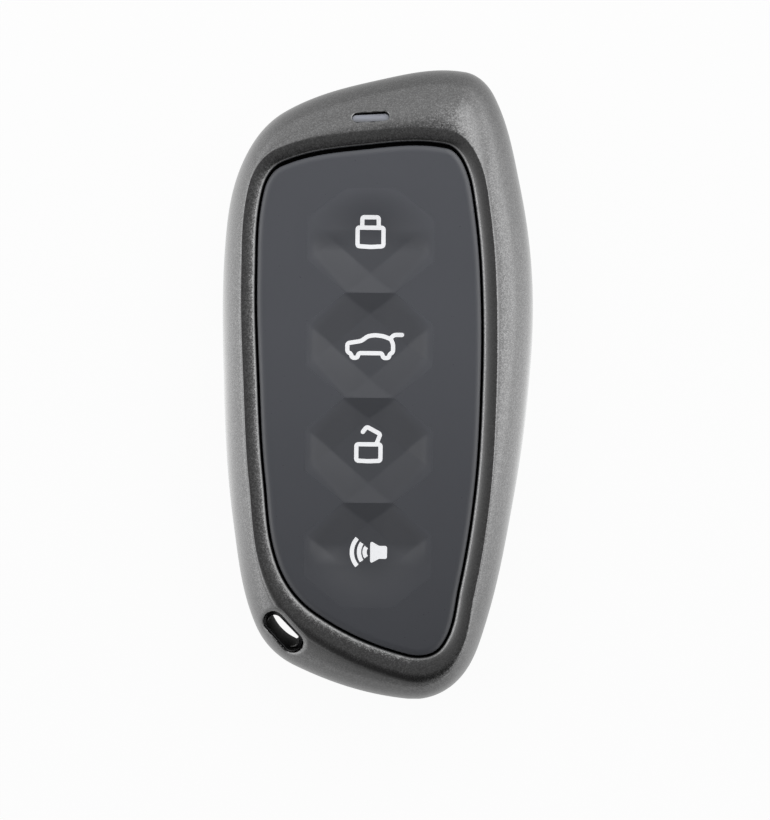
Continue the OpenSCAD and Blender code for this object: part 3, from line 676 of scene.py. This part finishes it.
def hollow(i, u, v):
    """Depth of button i's hollow below the pad, as a height."""
    planes = facet_heights(u, v)
    depth = np.maximum(-soft_max(planes, crease), 0)
    ease = least_ease + rim_ease * np.clip((np.abs(u) - ease_from) / ease_run, 0, 1)
    crisp = -np.where(depth < ease, depth * depth / (2 * ease), depth - ease / 2)
    rim_share = np.minimum(np.hypot(2 * u / button_w, 2 * v / button_pitch), 1)
    faded = -floor_depth * (1 + np.cos(math.pi * rim_share)) / 2
    fade_way = FADE_WAY.get(NAMES[i], 0)
    part = np.clip(0.5 + fade_way * v / fade_run, 0, 1) * abs(fade_way)
    part = part * part * (3 - 2 * part)
    return crisp + (faded - crisp) * part


def octagon_ring():
    corners = octagon(-seam)
    ends = np.roll(corners, -1, axis=0)
    t = np.arange(rim_steps)[:, None] / rim_steps
    return np.concatenate([a + (b - a) * t for a, b in zip(corners, ends)])


def button(i):
    rim = octagon_ring()
    a = np.arctan2(rim[:, 1], rim[:, 0])
    plunger = plunger_d / 2 * np.column_stack([np.cos(a), np.sin(a)])
    rings = [at_z(turned(plunger, i), plunger_z), at_z(turned(plunger, i), pad_z - button_t),
             at_z(turned(rim, i), pad_z - button_t)]
    for share in np.linspace(1, middle_share, dish_rings):
        spot = rim * share
        rings.append(at_z(turned(spot, i), pad_z + hollow(i, spot[:, 0], spot[:, 1])))
    return shade(skin("button_cap_" + NAMES[i], rings))


def hollow_shade_tone(i):
    """Lacquer of button i, painted darker in its hollow as shade, which takes on the pad's tone at its
    two sides and in the half that fades.
    """
    way = FADE_WAY.get(NAMES[i], 0)

    def tone(start):
        off = start.vector("SUBTRACT", place(start), (*button_pos(i) * MM, 0))
        off = start.vector("MULTIPLY", off, (2 / (button_w * MM), 2 / (button_pitch * MM), 0))
        reach = start.node("VectorMath", {"operation": "LENGTH"}, {0: off}, output=1)
        sideways = start.math("ABSOLUTE", off.axis(0))
        like_pad = reach.span(*RIM_SPAN) * sideways.span(*SIDE_SPAN)
        if way:
            outwards = (off.axis(1) * way).span(*HALF_SPAN)
            like_pad = start.math("MAXIMUM", like_pad, outwards * reach.span(*FADE_SPAN))
        return like_pad.mix(lacquer(hollow_shade_level)(start), lacquer(like_pad_level)(start))
    return tone


for i, name in enumerate(NAMES):
    finish = surface(
        "hollow_lacquer_" + name, Base_Color=hollow_shade_tone(i), Roughness=uneven(0.36, 0.08, grain=0.3),
        Normal=lacquer_grain, Specular_IOR_Level=0.75)
    dress(button(i), finish, name, "soft_touch", "button_" + name)

# Printed symbols
# White ink, pad-printed on the floors of the four hollows: a closed lock, a car with its tailgate up,
# an open lock and a horn, drawn in strokes of one width.
ink_w = 0.56
ink_t = 0.025
ink_cell = 0.05            # cells that the ink's film is cut from
least_part = 0.05          # and the least part of a cell's edge that a cut leaves
SYMBOL_X = (-3.5, 5.0)
SYMBOL_Y = (-2.6, 3.9)
corner_points = 7
TINY = 1e-9


def box_of(x0, x1, y0, y1, sag):
    """A box whose lower side hangs through a little."""
    return [(x0, y0), ((x0 + x1) / 2, y0 - sag), (x1, y0), (x1, y1), (x0, y1), (x0, y0)]


def rounded(line, reach=0.3):
    """The line with its corners eased by curves that set in at the reach from each corner."""
    p = np.array(line, float)
    closed = line[0] == line[-1]
    curve = [] if closed else [p[0]]
    for k in range(0 if closed else 1, len(p) - 1):
        legs = [(p[k - 1] if k else p[-2]) - p[k], p[k + 1] - p[k]]
        a, b = (p[k] + leg * min(reach / np.linalg.norm(leg), 0.5) for leg in legs)
        curve += bend(a, p[k], b, corner_points)
    return curve + [curve[0] if closed else p[-1]]


SYMBOLS = {
    "lock": [box_of(-1.76, 1.64, -0.72, 1.7, 0.1), [(-1.15, 1.7), (-1.15, 3.05), (1, 3.05), (1, 1.7)]],
    "tailgate": [[(-2.95, -0.3), (-2.95, 0.28), (-1.1, 0.6), (-0.3, 1.22), (0.65, 1.38), (1.7, 1.26),
                  (2.75, 0.88), (3.05, 0.2), (3.05, -0.85), (2.6, -1.1), (2.5, -1.62), (1.76, -1.62),
                  (1.62, -1), (-1.47, -1), (-1.6, -1.62), (-2.34, -1.62), (-2.45, -1.1), (-2.95, -0.85),
                  (-2.95, -0.3)],
                 [(2.75, 1), (3.15, 1.43), (4.2, 1.43)]],
    "unlock": [box_of(-1.63, 1.54, -1.35, 0.79, 0.08),
               [(-0.8, 2.42), (-0.3, 3.1), (1.5, 2.14), (1.05, 1)]],
    "horn": []}
# Sound waves: how far left each bulges, and where it ends
WAVES = ((-2.08, -1.38, 1.8), (-1.14, -0.78, 1.18), (-0.41, -0.19, 0.66))
wave_mid = 0.4
HORN_BODY = [(0.48, 1.62), (1.45, 1.07), (2.38, 1.07), (2.38, -0.3), (1.45, -0.3), (0.48, -0.84)]
horn_body_edge = 0.16
horn_corner = 0.14


def wave_gap(points, left_most, end_x, half):
    """Distance of the points from an arc with ends cut square, negative inside it."""
    sag = end_x - left_most
    radius = (half * half + sag * sag) / (2 * sag)
    spread = math.asin(half / radius)
    x = points[:, 0] - left_most - radius
    y = np.abs(points[:, 1] - wave_mid)
    past_end = x * math.sin(spread) + y * math.cos(spread)
    return np.maximum(np.abs(np.hypot(x, y) - radius) - ink_w / 2, past_end)


def stroke_gap(points, line):
    """Distance of the points from a line of straight runs."""
    best = np.full(len(points), np.inf)
    for a, b in zip(np.array(line[:-1], float), np.array(line[1:], float)):
        t = np.clip((points - a) @ (b - a) / max((b - a) @ (b - a), TINY), 0, 1)
        best = np.minimum(best, np.linalg.norm(points - a - t[:, None] * (b - a), axis=1))
    return best


def ink_gap(name, points):
    """Distance of the points from the symbol's inked part, negative inside it."""
    gaps = [stroke_gap(points, rounded(line)) - ink_w / 2 for line in SYMBOLS[name]]
    if name == "horn":
        gaps = [wave_gap(points, *wave) for wave in WAVES]
        corners = rounded(HORN_BODY + HORN_BODY[:1], horn_corner)
        inside = np.zeros(len(points), bool)
        for (x0, y0), (x1, y1) in zip(corners[:-1], corners[1:]):
            crosses = (y0 > points[:, 1]) != (y1 > points[:, 1])
            meet = x0 + (points[:, 1] - y0) * (x1 - x0) / ((y1 - y0) or TINY)
            inside ^= crosses & (points[:, 0] < meet)
        edge_gap = stroke_gap(points, corners)
        gaps.append(np.where(inside, -edge_gap, edge_gap) - horn_body_edge)
    return np.min(gaps, axis=0)


def ink(i):
    """A thin film over the symbol, laid on the hollow: cut cell by cell along the symbol's edge."""
    name = NAMES[i]
    us = np.arange(*SYMBOL_X, ink_cell)
    vs = np.arange(*SYMBOL_Y, ink_cell)
    u, v = np.meshgrid(us, vs, indexing="ij")
    gap = ink_gap(name, np.column_stack([u.ravel(), v.ravel()])).reshape(u.shape)
    inked = gap < 0
    touched = inked[:-1, :-1] | inked[1:, :-1] | inked[:-1, 1:] | inked[1:, 1:]
    spots = []
    index = {}
    faces = []

    def spot(key, where):
        if key not in index:
            index[key] = len(spots)
            spots.append(where)
        return index[key]

    for a, b in zip(*np.nonzero(touched)):
        corners = [(a, b), (a + 1, b), (a + 1, b + 1), (a, b + 1)]
        face = []
        for p, q in zip(corners, corners[1:] + corners[:1]):
            if inked[p]:
                face.append(spot(p, (us[p[0]], vs[p[1]])))
            if inked[p] != inked[q]:
                t = np.clip(gap[p] / (gap[p] - gap[q]), least_part, 1 - least_part)
                where = (us[p[0]] + t * (us[q[0]] - us[p[0]]), vs[p[1]] + t * (vs[q[1]] - vs[p[1]]))
                face.append(spot(min((p, q), (q, p)), where))
        faces.append(face)
    spots = np.array(spots)
    floor = pad_z + hollow(i, spots[:, 0], spots[:, 1])
    ground = turned(spots, i)
    count = len(spots)
    edges = {}
    for face in faces:
        for p, q in zip(face, face[1:] + face[:1]):
            edges[(p, q)] = True
    walls = [(q, p, p + count, q + count) for p, q in edges if (q, p) not in edges]
    under = [[p + count for p in reversed(face)] for face in faces]
    points = np.concatenate([at_z(ground, floor + ink_t), at_z(ground, floor - ink_t)])
    return piece_from("symbol_" + name, points, faces + under + walls)


# The ink is made to glow a little: a painted highlight that keeps it white.
white_ink_painted_glow = surface(
    "white_ink_painted_glow", Base_Color=mottled((0.89, 0.9, 0.93, 1), (0.94, 0.95, 0.98, 1), grain=0.8),
    Roughness=uneven(0.45, 0.1, grain=0.2), Emission_Color=grey(1), Emission_Strength=0.22)
for i, name in enumerate(NAMES):
    dress(shade(ink(i)), white_ink_painted_glow, name, "stem_white")

# Chassis and carrier
# Black moulded frame that everything is screwed to, with the liner of the lanyard hole in one piece,
# and the plate that clamps the keypad and guides the plungers.
black_plastic = surface(
    "black_moulding", Base_Color=mottled((0.012, 0.012, 0.013, 1), (0.022, 0.022, 0.024, 1), grain=2.0),
    Roughness=uneven(0.2, 0.08, grain=0.3), Normal=grained(0.12, depth=0.004, detail=3.0),
    Specular_IOR_Level=0.5)


def coat(finish, *nodes):
    """Gives CAD nodes that keep their own shape a finish."""
    for node in nodes:
        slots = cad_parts[node].data.materials
        slots.clear()
        slots.append(finish)


coat(black_plastic, "chassis", "keypad_carrier")
liner_fit = 0.03
liner_lip = 0.14
liner_wall = 0.3
liner_foot_z = 2.0
liner_fall = 1.3           # the liner's mouth falls towards the keypad
fall_from = 0.5            # from this far past its lower edge
mouth_sink = 0.1
thinning = 0.75            # share by which the liner is thinner on the keypad's side
lip_sink = 0.2             # middle of the round lip below the mouth
wall_sink = 0.3
wall_in = 0.02
throat_q = -0.72           # lower edge of the clear way at the liner's foot, from the hole's middle
throat_end_q = 0.0         # and at its two ends
throat_l = 5.8
throat_mid = -0.28
least_throat = 0.1
throat_rings = 16
lip_sides = 16


def case_z(points):
    """Height of the case's outside near each of the points."""
    spots = np.concatenate(outer_side)
    return np.array([spots[np.argmin(((spots[:, :2] - p) ** 2).sum(axis=1)), 2] for p in points])


def evened(values, reach=3):
    """The values round a ring, each averaged with its neighbours."""
    return np.mean([np.roll(values, k) for k in range(-reach, reach + 1)], axis=0)


hole_x = np.array([math.cos(math.radians(hole_turn)), math.sin(math.radians(hole_turn))])
hole_y = np.array([-hole_x[1], hole_x[0]])
mouth = inset(hole_ring, liner_fit)
mouth_fall = np.maximum((mouth - hole_pos) @ hole_y + hole_w / 2 - fall_from, 0)
mouth_z = evened(case_z(mouth)) - mouth_sink - liner_fall * mouth_fall
thin = 1 - thinning * np.clip((mouth - hole_pos) @ hole_y / (hole_w / 2), 0, 1)
wall_ring = inset(mouth, liner_wall * thin)
along = throat_mid + (wall_ring - hole_pos) @ hole_x * throat_l / hole_l
over = (wall_ring - hole_pos) @ hole_y
arc = throat_q + (throat_end_q - throat_q) * (2 * (along - throat_mid) / throat_l) ** 2
over = np.maximum(over, np.minimum(arc, hole_w / 2 - liner_wall - least_throat))
throat = np.array(hole_pos) + along[:, None] * hole_x + over[:, None] * hole_y
sleeve = inset(hole_ring, 2 * liner_fit)
liner_rings = [at_z(sleeve, liner_foot_z), at_z(inset(mouth, wall_in), mouth_z - lip_sink)]
wall_h = mouth_z - wall_sink - liner_foot_z
for t in np.linspace(1, 0, throat_rings):
    liner_rings.append(at_z(throat + (wall_ring - throat) * t * t, liner_foot_z + wall_h * t))
# The liner is chassis moulding in black, but takes the darker near-black as painted shade inside the
# lanyard hole.
dress(shade(skin("lanyard_liner", liner_rings, closed=True)), bare_black_and_painted_shade, "case", "black_plastic")
lip_rings = []
for a in np.linspace(-0.5 * math.pi, 1.5 * math.pi, lip_sides + 1)[:-1]:
    ring = inset(mouth, liner_lip * thin * (1 - math.cos(a)))
    lip_rings.append(at_z(ring, mouth_z - lip_sink + liner_lip * math.sin(a)))
dress(shade(skin("lanyard_liner_lip", lip_rings, closed=True)), black_plastic, "case", "black_plastic")

# Seal
# A moulded elastomer ring that lies in the chassis groove and presses against the front cover.
# The gasket between the coin cell's can and its cap is of a like rubber, and is crimped in.
seal_rubber = surface(
    "seal_rubber", Base_Color=mottled((0.03, 0.03, 0.032, 1), (0.05, 0.05, 0.052, 1), grain=1.5),
    Roughness=0.7, Normal=grained(0.1, depth=0.006))
coat(seal_rubber, "seal", "coin_cell_gasket")

# Circuit board
# Glass-epoxy laminate with a green solder mask over copper tracks, reflow soldered on its upper side.
# It carries the chips, the switches with their ivory stems, the small ceramic parts and the antenna,
# which is a ferrite bar wound with enamelled wire; the board lies on the chassis plate.
track_field = 2.7          # copper fields between the tracks
TRACK_SPAN = (0.06, 0.1)
wire_pitch = 0.1
wave_length = 0.32         # of the wave texture at a scale of 1


def solder_mask(start):
    cells = start.node("TexVoronoi", {"feature": "DISTANCE_TO_EDGE", "distance": "EUCLIDEAN"},
                       {"Vector": place(start), "Scale": 1 / (track_field * MM)})
    return cells.span(*TRACK_SPAN).mix((0.05, 0.2, 0.1, 1), (0.018, 0.1, 0.045, 1))


board_finish = surface(
    "solder_mask", Base_Color=solder_mask, Roughness=uneven(0.3, 0.1, grain=0.5),
    Normal=grained(0.4, depth=0.01))
coat(board_finish, "circuit_board")
moulded_chip = surface(
    "moulded_chip", Base_Color=mottled((0.014, 0.014, 0.015, 1), (0.03, 0.03, 0.032, 1), grain=0.3),
    Roughness=uneven(0.5, 0.12, grain=0.2), Normal=grained(0.06, depth=0.004))
coat(moulded_chip, "controller_chip", "radio_chip", "switch_bodies")
ivory = surface(
    "ivory_nylon", Base_Color=mottled((0.6, 0.57, 0.5, 1), (0.7, 0.67, 0.6, 1), grain=0.6),
    Roughness=uneven(0.4, 0.1, grain=0.2))
coat(ivory, "led_chip", *("switch_stem_" + name for name in NAMES))
ceramic = surface(
    "ceramic_chip", Base_Color=mottled((0.33, 0.24, 0.15, 1), (0.5, 0.47, 0.43, 1), grain=0.5),
    Roughness=uneven(0.35, 0.2, grain=0.3))
coat(ceramic, "passives")
ferrite = surface(
    "sintered_ferrite", Base_Color=mottled((0.03, 0.03, 0.033, 1), (0.065, 0.065, 0.07, 1), grain=0.2),
    Roughness=0.6, Normal=grained(0.1, depth=0.01, detail=4.0))
coat(ferrite, "antenna_core")


def wire_turns(start):
    """Height of the wires of the winding, lying side by side."""
    return start.node("TexWave", {"bands_direction": "Z", "wave_profile": "SIN"},
                      {"Vector": place(start), "Scale": wave_length / (wire_pitch * MM)}, output=1)


# The copper is painted darker in the grooves between the turns, as shade.
def wire_colour_shaded(start):
    return wire_turns(start).mix((0.3, 0.1, 0.04, 1), (0.62, 0.27, 0.12, 1))


copper = surface(
    "enamelled_copper", Base_Color=wire_colour_shaded, Metallic=1.0, Roughness=0.3,
    Normal=lambda s: bump(wire_turns(s), 0.03))
coat(copper, "antenna_winding")

# Steel pieces
# Nickel-plated pressings, the screws and the key's blade, all drawn or rolled along their length.
# The coin cell is drawn from bright sheet, and gold-flashed bronze springs press against it.
brush_l = 4.0
brush_w = 0.04


def brushed(start):
    """Fine lines along the length."""
    spread = (1 / (brush_w * MM), 1 / (brush_l * MM), 1 / (brush_w * MM))
    lines = start.vector("MULTIPLY", place(start), spread)
    return start.node("TexNoise", None, {"Vector": lines, "Scale": 1.0, "Detail": 2.0})


steel = surface(
    "nickel_steel", Base_Color=lambda s: brushed(s).mix((0.5, 0.5, 0.5, 1), (0.68, 0.68, 0.67, 1)),
    Metallic=1.0, Roughness=lambda s: 0.22 + 0.2 * brushed(s), Normal=lambda s: bump(brushed(s), 0.002))
coat(steel, "crystal", "switch_covers", "screws", "key_blade")
brass = surface(
    "gold_flashed_bronze", Base_Color=mottled((0.62, 0.45, 0.18, 1), (0.78, 0.62, 0.3, 1), grain=1.0),
    Metallic=1.0, Roughness=uneven(0.2, 0.15, grain=0.3))
coat(brass, "battery_contact_positive", "battery_contact_negative")
cell_steel = surface(
    "bright_cell_steel", Base_Color=mottled((0.62, 0.63, 0.64, 1), (0.76, 0.77, 0.78, 1), grain=3.0),
    Metallic=1.0, Roughness=uneven(0.14, 0.12, grain=0.5), Normal=grained(0.2, depth=0.002))
coat(cell_steel, "coin_cell_can", "coin_cell_cap")

# Rear cover
# The other half of the case, moulded and painted like the front cover. It snaps over the chassis and is
# pulled off to change the cell. It has a flat back, and leaves room at its joint for the key's head and
# for the release button.
rear_top = 5.7
rear_inset = 3.5
rear_wall = 1.4
rear_bulge = 0.8
floor_in = 0.2
back_round = 0.6
back_share = 0.93          # shares of the side at the edge of the back and at the joint
rear_foot_share = 0.0165
rear_side_rings = 40
back_rings = 7
back_ring = inset(body_ring, rear_inset)
rear_side = side(body_ring, back_ring, rear_top, 0, rear_bulge,
                 np.linspace(back_share, rear_foot_share, rear_side_rings))
back_start = at_z(inset(back_ring, back_round), 0)
rear_outside = bend(back_start, at_z(back_ring, 0), rear_side[0], back_rings) + rear_side[1:]
rear_rim = [at_z(inset(body_ring, bevel_mid), rear_top - bevel_mid),
            at_z(inset(body_ring, seam_bevel), rear_top)]
rear_inside = side(inset(body_ring, wall), inset(back_ring, floor_in), rear_top, rear_wall, rear_bulge,
                   np.linspace(0, 1, inside_rings))
rear_cover = skin("rear_cover_shell", rear_outside + rear_rim + rear_inside)
key_x = right - 10.3
head_w = 10.4
head_y = top - 10.5
head_z = 1.7
head_top = 5.65
release_y = 12.0
release_l = 8.0
release_z = 2.6
release_x = right - 3.9
slide_gap = 0.15
flange_room = 1.35         # room behind the button for its flange
head_x0 = key_x - head_w / 2
head_x1 = key_x + head_w / 2
release_y0 = release_y - release_l / 2
release_y1 = release_y + release_l / 2


def block(name, x0, x1, y0, y1, z0, z1):
    ring = np.array([(x0, y0), (x1, y0), (x1, y1), (x0, y1)])
    return skin(name, [at_z(ring, z0), at_z(ring, z1)])


carve(rear_cover, [
    skin("hole_cut", [at_z(hole_ring, -cut_past), at_z(hole_ring, crest_z)]),
    block("head_cut", head_x0 - slide_gap, head_x1 + slide_gap, head_y - slide_gap, top + cut_past,
          head_z - slide_gap, crest_z),
    block("release_cut", release_x - flange_room, right + cut_past, release_y0 - slide_gap,
          release_y1 + slide_gap, release_z - slide_gap, crest_z)])
shade(rear_cover)
dress(rear_cover, case_paint, "back", "case_paint", "rear_cover")

# Emergency key and release button
# A moulded head on the steel blade, and the button in the right side that frees it.
# Both are black plastic, ribbed for the finger, and take their faces from the rear half of the case.
grip_depth = 0.3
grip_w = 0.55
grip_pitch = 1.3
grip_z = 0.5
head_grip_from = 2.0       # where the grooves begin, from the head's inner end
release_grip_from = 1.0
GRIPS = (-1, 0, 1)


def from_rear(name, x0, x1, y0, y1, z0, z1):
    """A piece whose outside is the face of the rear half of the case."""
    solid = skin(name, rear_outside + rear_rim)
    return carve(solid, [block("keep", x0, x1, y0, y1, z0, z1)], "INTERSECT")


def grip(name, x0, x1, y0, y1):
    """A shallow groove that follows the face of the rear half."""
    core = [at_z(inset(ring[:, :2], grip_depth), ring[:, 2]) for ring in rear_outside + rear_rim]
    return carve(block(name, x0, x1, y0, y1, grip_z, crest_z), [skin("core", core)])


head = from_rear("key_head_moulding", head_x0, head_x1, head_y, top + cut_past, head_z, head_top)
carve(head, [grip("head_grip", key_x + k * grip_pitch - grip_w / 2, key_x + k * grip_pitch + grip_w / 2,
                  head_y + head_grip_from, top + cut_past) for k in GRIPS])
dress(shade(head), black_plastic, "key", "black_plastic", "key_head")
release = from_rear("release_button_moulding", release_x, right + cut_past, release_y0, release_y1,
                    release_z, head_top)
carve(release, [grip("release_grip", release_x + release_grip_from, right + cut_past,
                     release_y + k * grip_pitch - grip_w / 2, release_y + k * grip_pitch + grip_w / 2)
                for k in GRIPS])
plate_z = 5.0              # underside of the chassis plate
flange_x = 1.0
flange_over = 1.0          # flange past the button's sides, which keeps it in the case
flange_lift = 0.2
tongue_tip = key_x + 2
tongue_tip_t = 0.2
tongue_w = 1.65            # it passes beside the catch's nose
tongue_y0 = release_y - 1.25
tongue_y1 = tongue_y0 + tongue_w
tongue_z = 4.15
tongue_top = 5.15
tongue_ramp = 0.7          # ramp that lifts the key's catch


def tongue_ring(x, z1):
    """Upright ring across the tongue, which runs along X."""
    low, high = (x, tongue_y0, tongue_z), (x, tongue_y1, tongue_z)
    return np.array([low, high, (x, tongue_y1, z1), (x, tongue_y0, z1)])


carve(release, [
    block("flange", release_x, release_x + flange_x, release_y0 - flange_over, release_y1 + flange_over,
          release_z + flange_lift, plate_z - slide_gap),
    skin("tongue", [tongue_ring(tongue_tip, tongue_z + tongue_tip_t),
                    tongue_ring(tongue_tip + tongue_ramp, tongue_top),
                    tongue_ring(release_x + flange_x / 2, tongue_top)])], "UNION")
dress(shade(release), black_plastic, "release", "black_plastic", "release_button")

# Key's catch and return spring
# A leaf of spring steel, staked under the chassis, whose nose holds the blade until the button lifts it.
# A coil of spring wire between the key's rail and the button's flange pushes the button back out.
catch_w = 3.0
catch_z = 4.6
catch_t = 0.25
catch_y = -5.0
nose_y = 12.6
nose_l = 0.7
nose_z = 3.4
nose_round = 0.2
nose_end = nose_y + nose_l
LEAF = [(catch_y, catch_z), (nose_y, catch_z), (nose_y, nose_z + nose_round),
        (nose_y + nose_round, nose_z), (nose_end - nose_round, nose_z), (nose_end, nose_z + nose_round),
        (nose_end, catch_z + catch_t), (catch_y, catch_z + catch_t)]
catch = skin("key_catch_leaf", [np.array([(x, y, z) for y, z in LEAF])
                                for x in (key_x - catch_w / 2, key_x + catch_w / 2)])
dress(shade(catch), steel, "case", "steel", "key_catch")
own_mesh(catch)
wire_r = 0.125
coil_r = 0.8
coil_x0 = 14.51
coil_x1 = release_x - 0.06
coil_y = release_y + 2
coil_z = plate_z - 1.3
coil_rise = coil_x1 - coil_x0 - 2 * wire_r
coil_turns = 4
turn_rings = 32
wire_sides = 10
coil_sharp_from = 60
coil = []
for k in range(coil_turns * turn_rings + 1):
    a = 2 * math.pi * k / turn_rings
    b = -2 * math.pi * np.arange(wire_sides) / wire_sides
    x = coil_x0 + wire_r + coil_rise * k / (coil_turns * turn_rings) + wire_r * np.sin(b)
    r = coil_r + wire_r * np.cos(b)
    coil.append(np.column_stack([x, coil_y + r * math.cos(a), coil_z + r * math.sin(a)]))
spring = skin("release_spring_coil", coil)
dress(shade(spring, coil_sharp_from), steel, "case", "steel", "release_spring")
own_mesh(spring)

# Studio
# A white table under a soft sky, which is bright beside the case, dim beyond the lamp end and dark beyond
# the near end and overhead, and one soft panel beyond the lamp end that the case does not mirror.
# The camera looks straight down, as the photograph does.
half_floor = 2.0           # in metres
FLOOR_CORNERS = ((-1, -1), (1, -1), (1, 1), (-1, 1))
table_tone = 0.85          # of the table where it is lit
white_share = 0.95         # how much of the white that is seen is plain; the rest takes the shadow
mirrored_end_shade = 0.36        # painted shade: tone of the table, seen only in reflections, beyond the case's two ends
never_zero = 1e-6
floor_mesh = bpy.data.meshes.new("table_top")
floor_points = [(x * half_floor, y * half_floor, 0) for x, y in FLOOR_CORNERS]
floor_mesh.from_pydata(floor_points, [], [(0, 1, 2, 3)])
floor = bpy.data.objects.new("table_top", floor_mesh)
bpy.context.scene.collection.objects.link(floor)
table_white = bpy.data.materials.new("table_white")
table_white.use_nodes = True
tree = table_white.node_tree
tree.nodes.clear()
start = Field(tree)
seen = start.node("LightPath", output=0)
mirrored = start.node("LightPath", output=3)
through = start.node("LightPath", output=6)
shown = start.math("MAXIMUM", start.math("MAXIMUM", seen, mirrored), through)
# Seen only in reflections, the table is painted darker beyond the case's two ends, as shade.
spot_x = place(start).axis(0)
spot_y = place(start).axis(1)
beside = spot_x * spot_x * ((spot_x * spot_x + spot_y * spot_y + never_zero) ** -1.0)
mirror_shade_tone = beside.mix(grey(mirrored_end_shade), grey(1.0))
lit = start.node("BsdfDiffuse", None, {"Color": grey(table_tone)})
bright = start.node("Emission", None, {"Color": mirrored.mix(grey(1.0), mirror_shade_tone), "Strength": 1.0})
blend = start.node("MixShader", None, {0: shown * white_share, 1: lit, 2: bright})
start.feed(tree.nodes.new("ShaderNodeOutputMaterial").inputs["Surface"], blend)
floor_mesh.materials.append(table_white)

world = bpy.data.worlds.new("studio")
bpy.context.scene.world = world
world.use_nodes = True
start = Field(world.node_tree)
way = start.node("TexCoord", output=0)
east = way.axis(0)
north = way.axis(1)
up = way.axis(2)
level_part = 1.001 - up * up    # a little over, so that it is never zero
across = east * east * (level_part ** -1.0)
ahead = start.math("MAXIMUM", north, 0.0) * north * (level_part ** -1.0)
behind = start.math("MINIMUM", north, 0.0) * north * (level_part ** -1.0)
# Half the brightness of the sky by the sine of the height over the horizon
SIDE_SKY = ((0, 0.64), (0.34, 0.62), (0.56, 0.36), (0.64, 0.5), (0.74, 1.0), (0.82, 0.36), (0.9, 0.16),
            (1, 0.07))
LAMP_END_SKY = ((0, 0.26), (0.6, 0.28), (0.7, 0.3), (0.8, 0.26), (0.88, 0.1), (1, 0.07))
NEAR_END_SKY = ((0, 0.12), (0.5, 0.08), (0.74, 0.016), (0.85, 0.003), (0.97, 0.003), (1, 0.06))
sky_strength = 2.0
near_end_turn = 0.6        # below 1, the near end's dark reaches further round the corners
GLOW = (0.5, 0.5, 0.7)     # direction of a soft lamp beyond the right of the lamp end
GLOW_SPAN = (0.9, 0.985)
glow_tone = 0.65


def run_up(stops):
    """The sky's tone from the horizon upwards."""
    return start.node("ValToRGB", {"stops": [(p, grey(v)) for p, v in stops]}, {0: up})


flank = start.math("MINIMUM", across, 1.0 - behind ** near_end_turn)
sky = flank.mix(ahead.mix(run_up(NEAR_END_SKY), run_up(LAMP_END_SKY)), run_up(SIDE_SKY))
towards_glow = start.node("VectorMath", {"operation": "DOT_PRODUCT"}, {0: way, 1: GLOW}, output=1)
sky = towards_glow.span(*GLOW_SPAN).mix(sky, grey(glow_tone))
backdrop = world.node_tree.nodes["Background"]
start.feed(backdrop.inputs["Color"], sky)
backdrop.inputs["Strength"].default_value = sky_strength


def panel(name, place_mm, size_mm, radiance):
    """A soft panel that faces the middle of the case, of even brightness."""
    lamp = bpy.data.lights.new(name, "AREA")
    lamp.shape = "RECTANGLE"
    lamp.size, lamp.size_y = size_mm[0] * MM, size_mm[1] * MM
    lamp.energy = radiance * math.pi * lamp.size * lamp.size_y
    holder = bpy.data.objects.new(name, lamp)
    holder.location = [c * MM for c in place_mm]
    bpy.context.scene.collection.objects.link(holder)
    holder.visible_camera = False
    holder.visible_glossy = False
    holder.rotation_mode = "QUATERNION"
    holder.rotation_quaternion = holder.location.to_track_quat("Z", "Y")


panel("top_panel", place_mm=(0, 150, 115), size_mm=(220, 140), radiance=1.2)

eye_height = 330.0
view_middle = (0.96, -3.43)
view_height = 109.95       # what the picture's height spans at the case's outline
outline_z = 6.0
lens_data = bpy.data.cameras.new("camera")
lens_data.sensor_fit = "VERTICAL"
lens_data.sensor_height = 36.0
lens_data.lens = lens_data.sensor_height * (eye_height - outline_z) / view_height
lens_data.clip_start = 0.01
camera = bpy.data.objects.new("camera", lens_data)
camera.location = (view_middle[0] * MM, view_middle[1] * MM, eye_height * MM)
bpy.context.scene.collection.objects.link(camera)
bpy.context.scene.camera = camera
bpy.context.scene.view_settings.view_transform = "Standard"
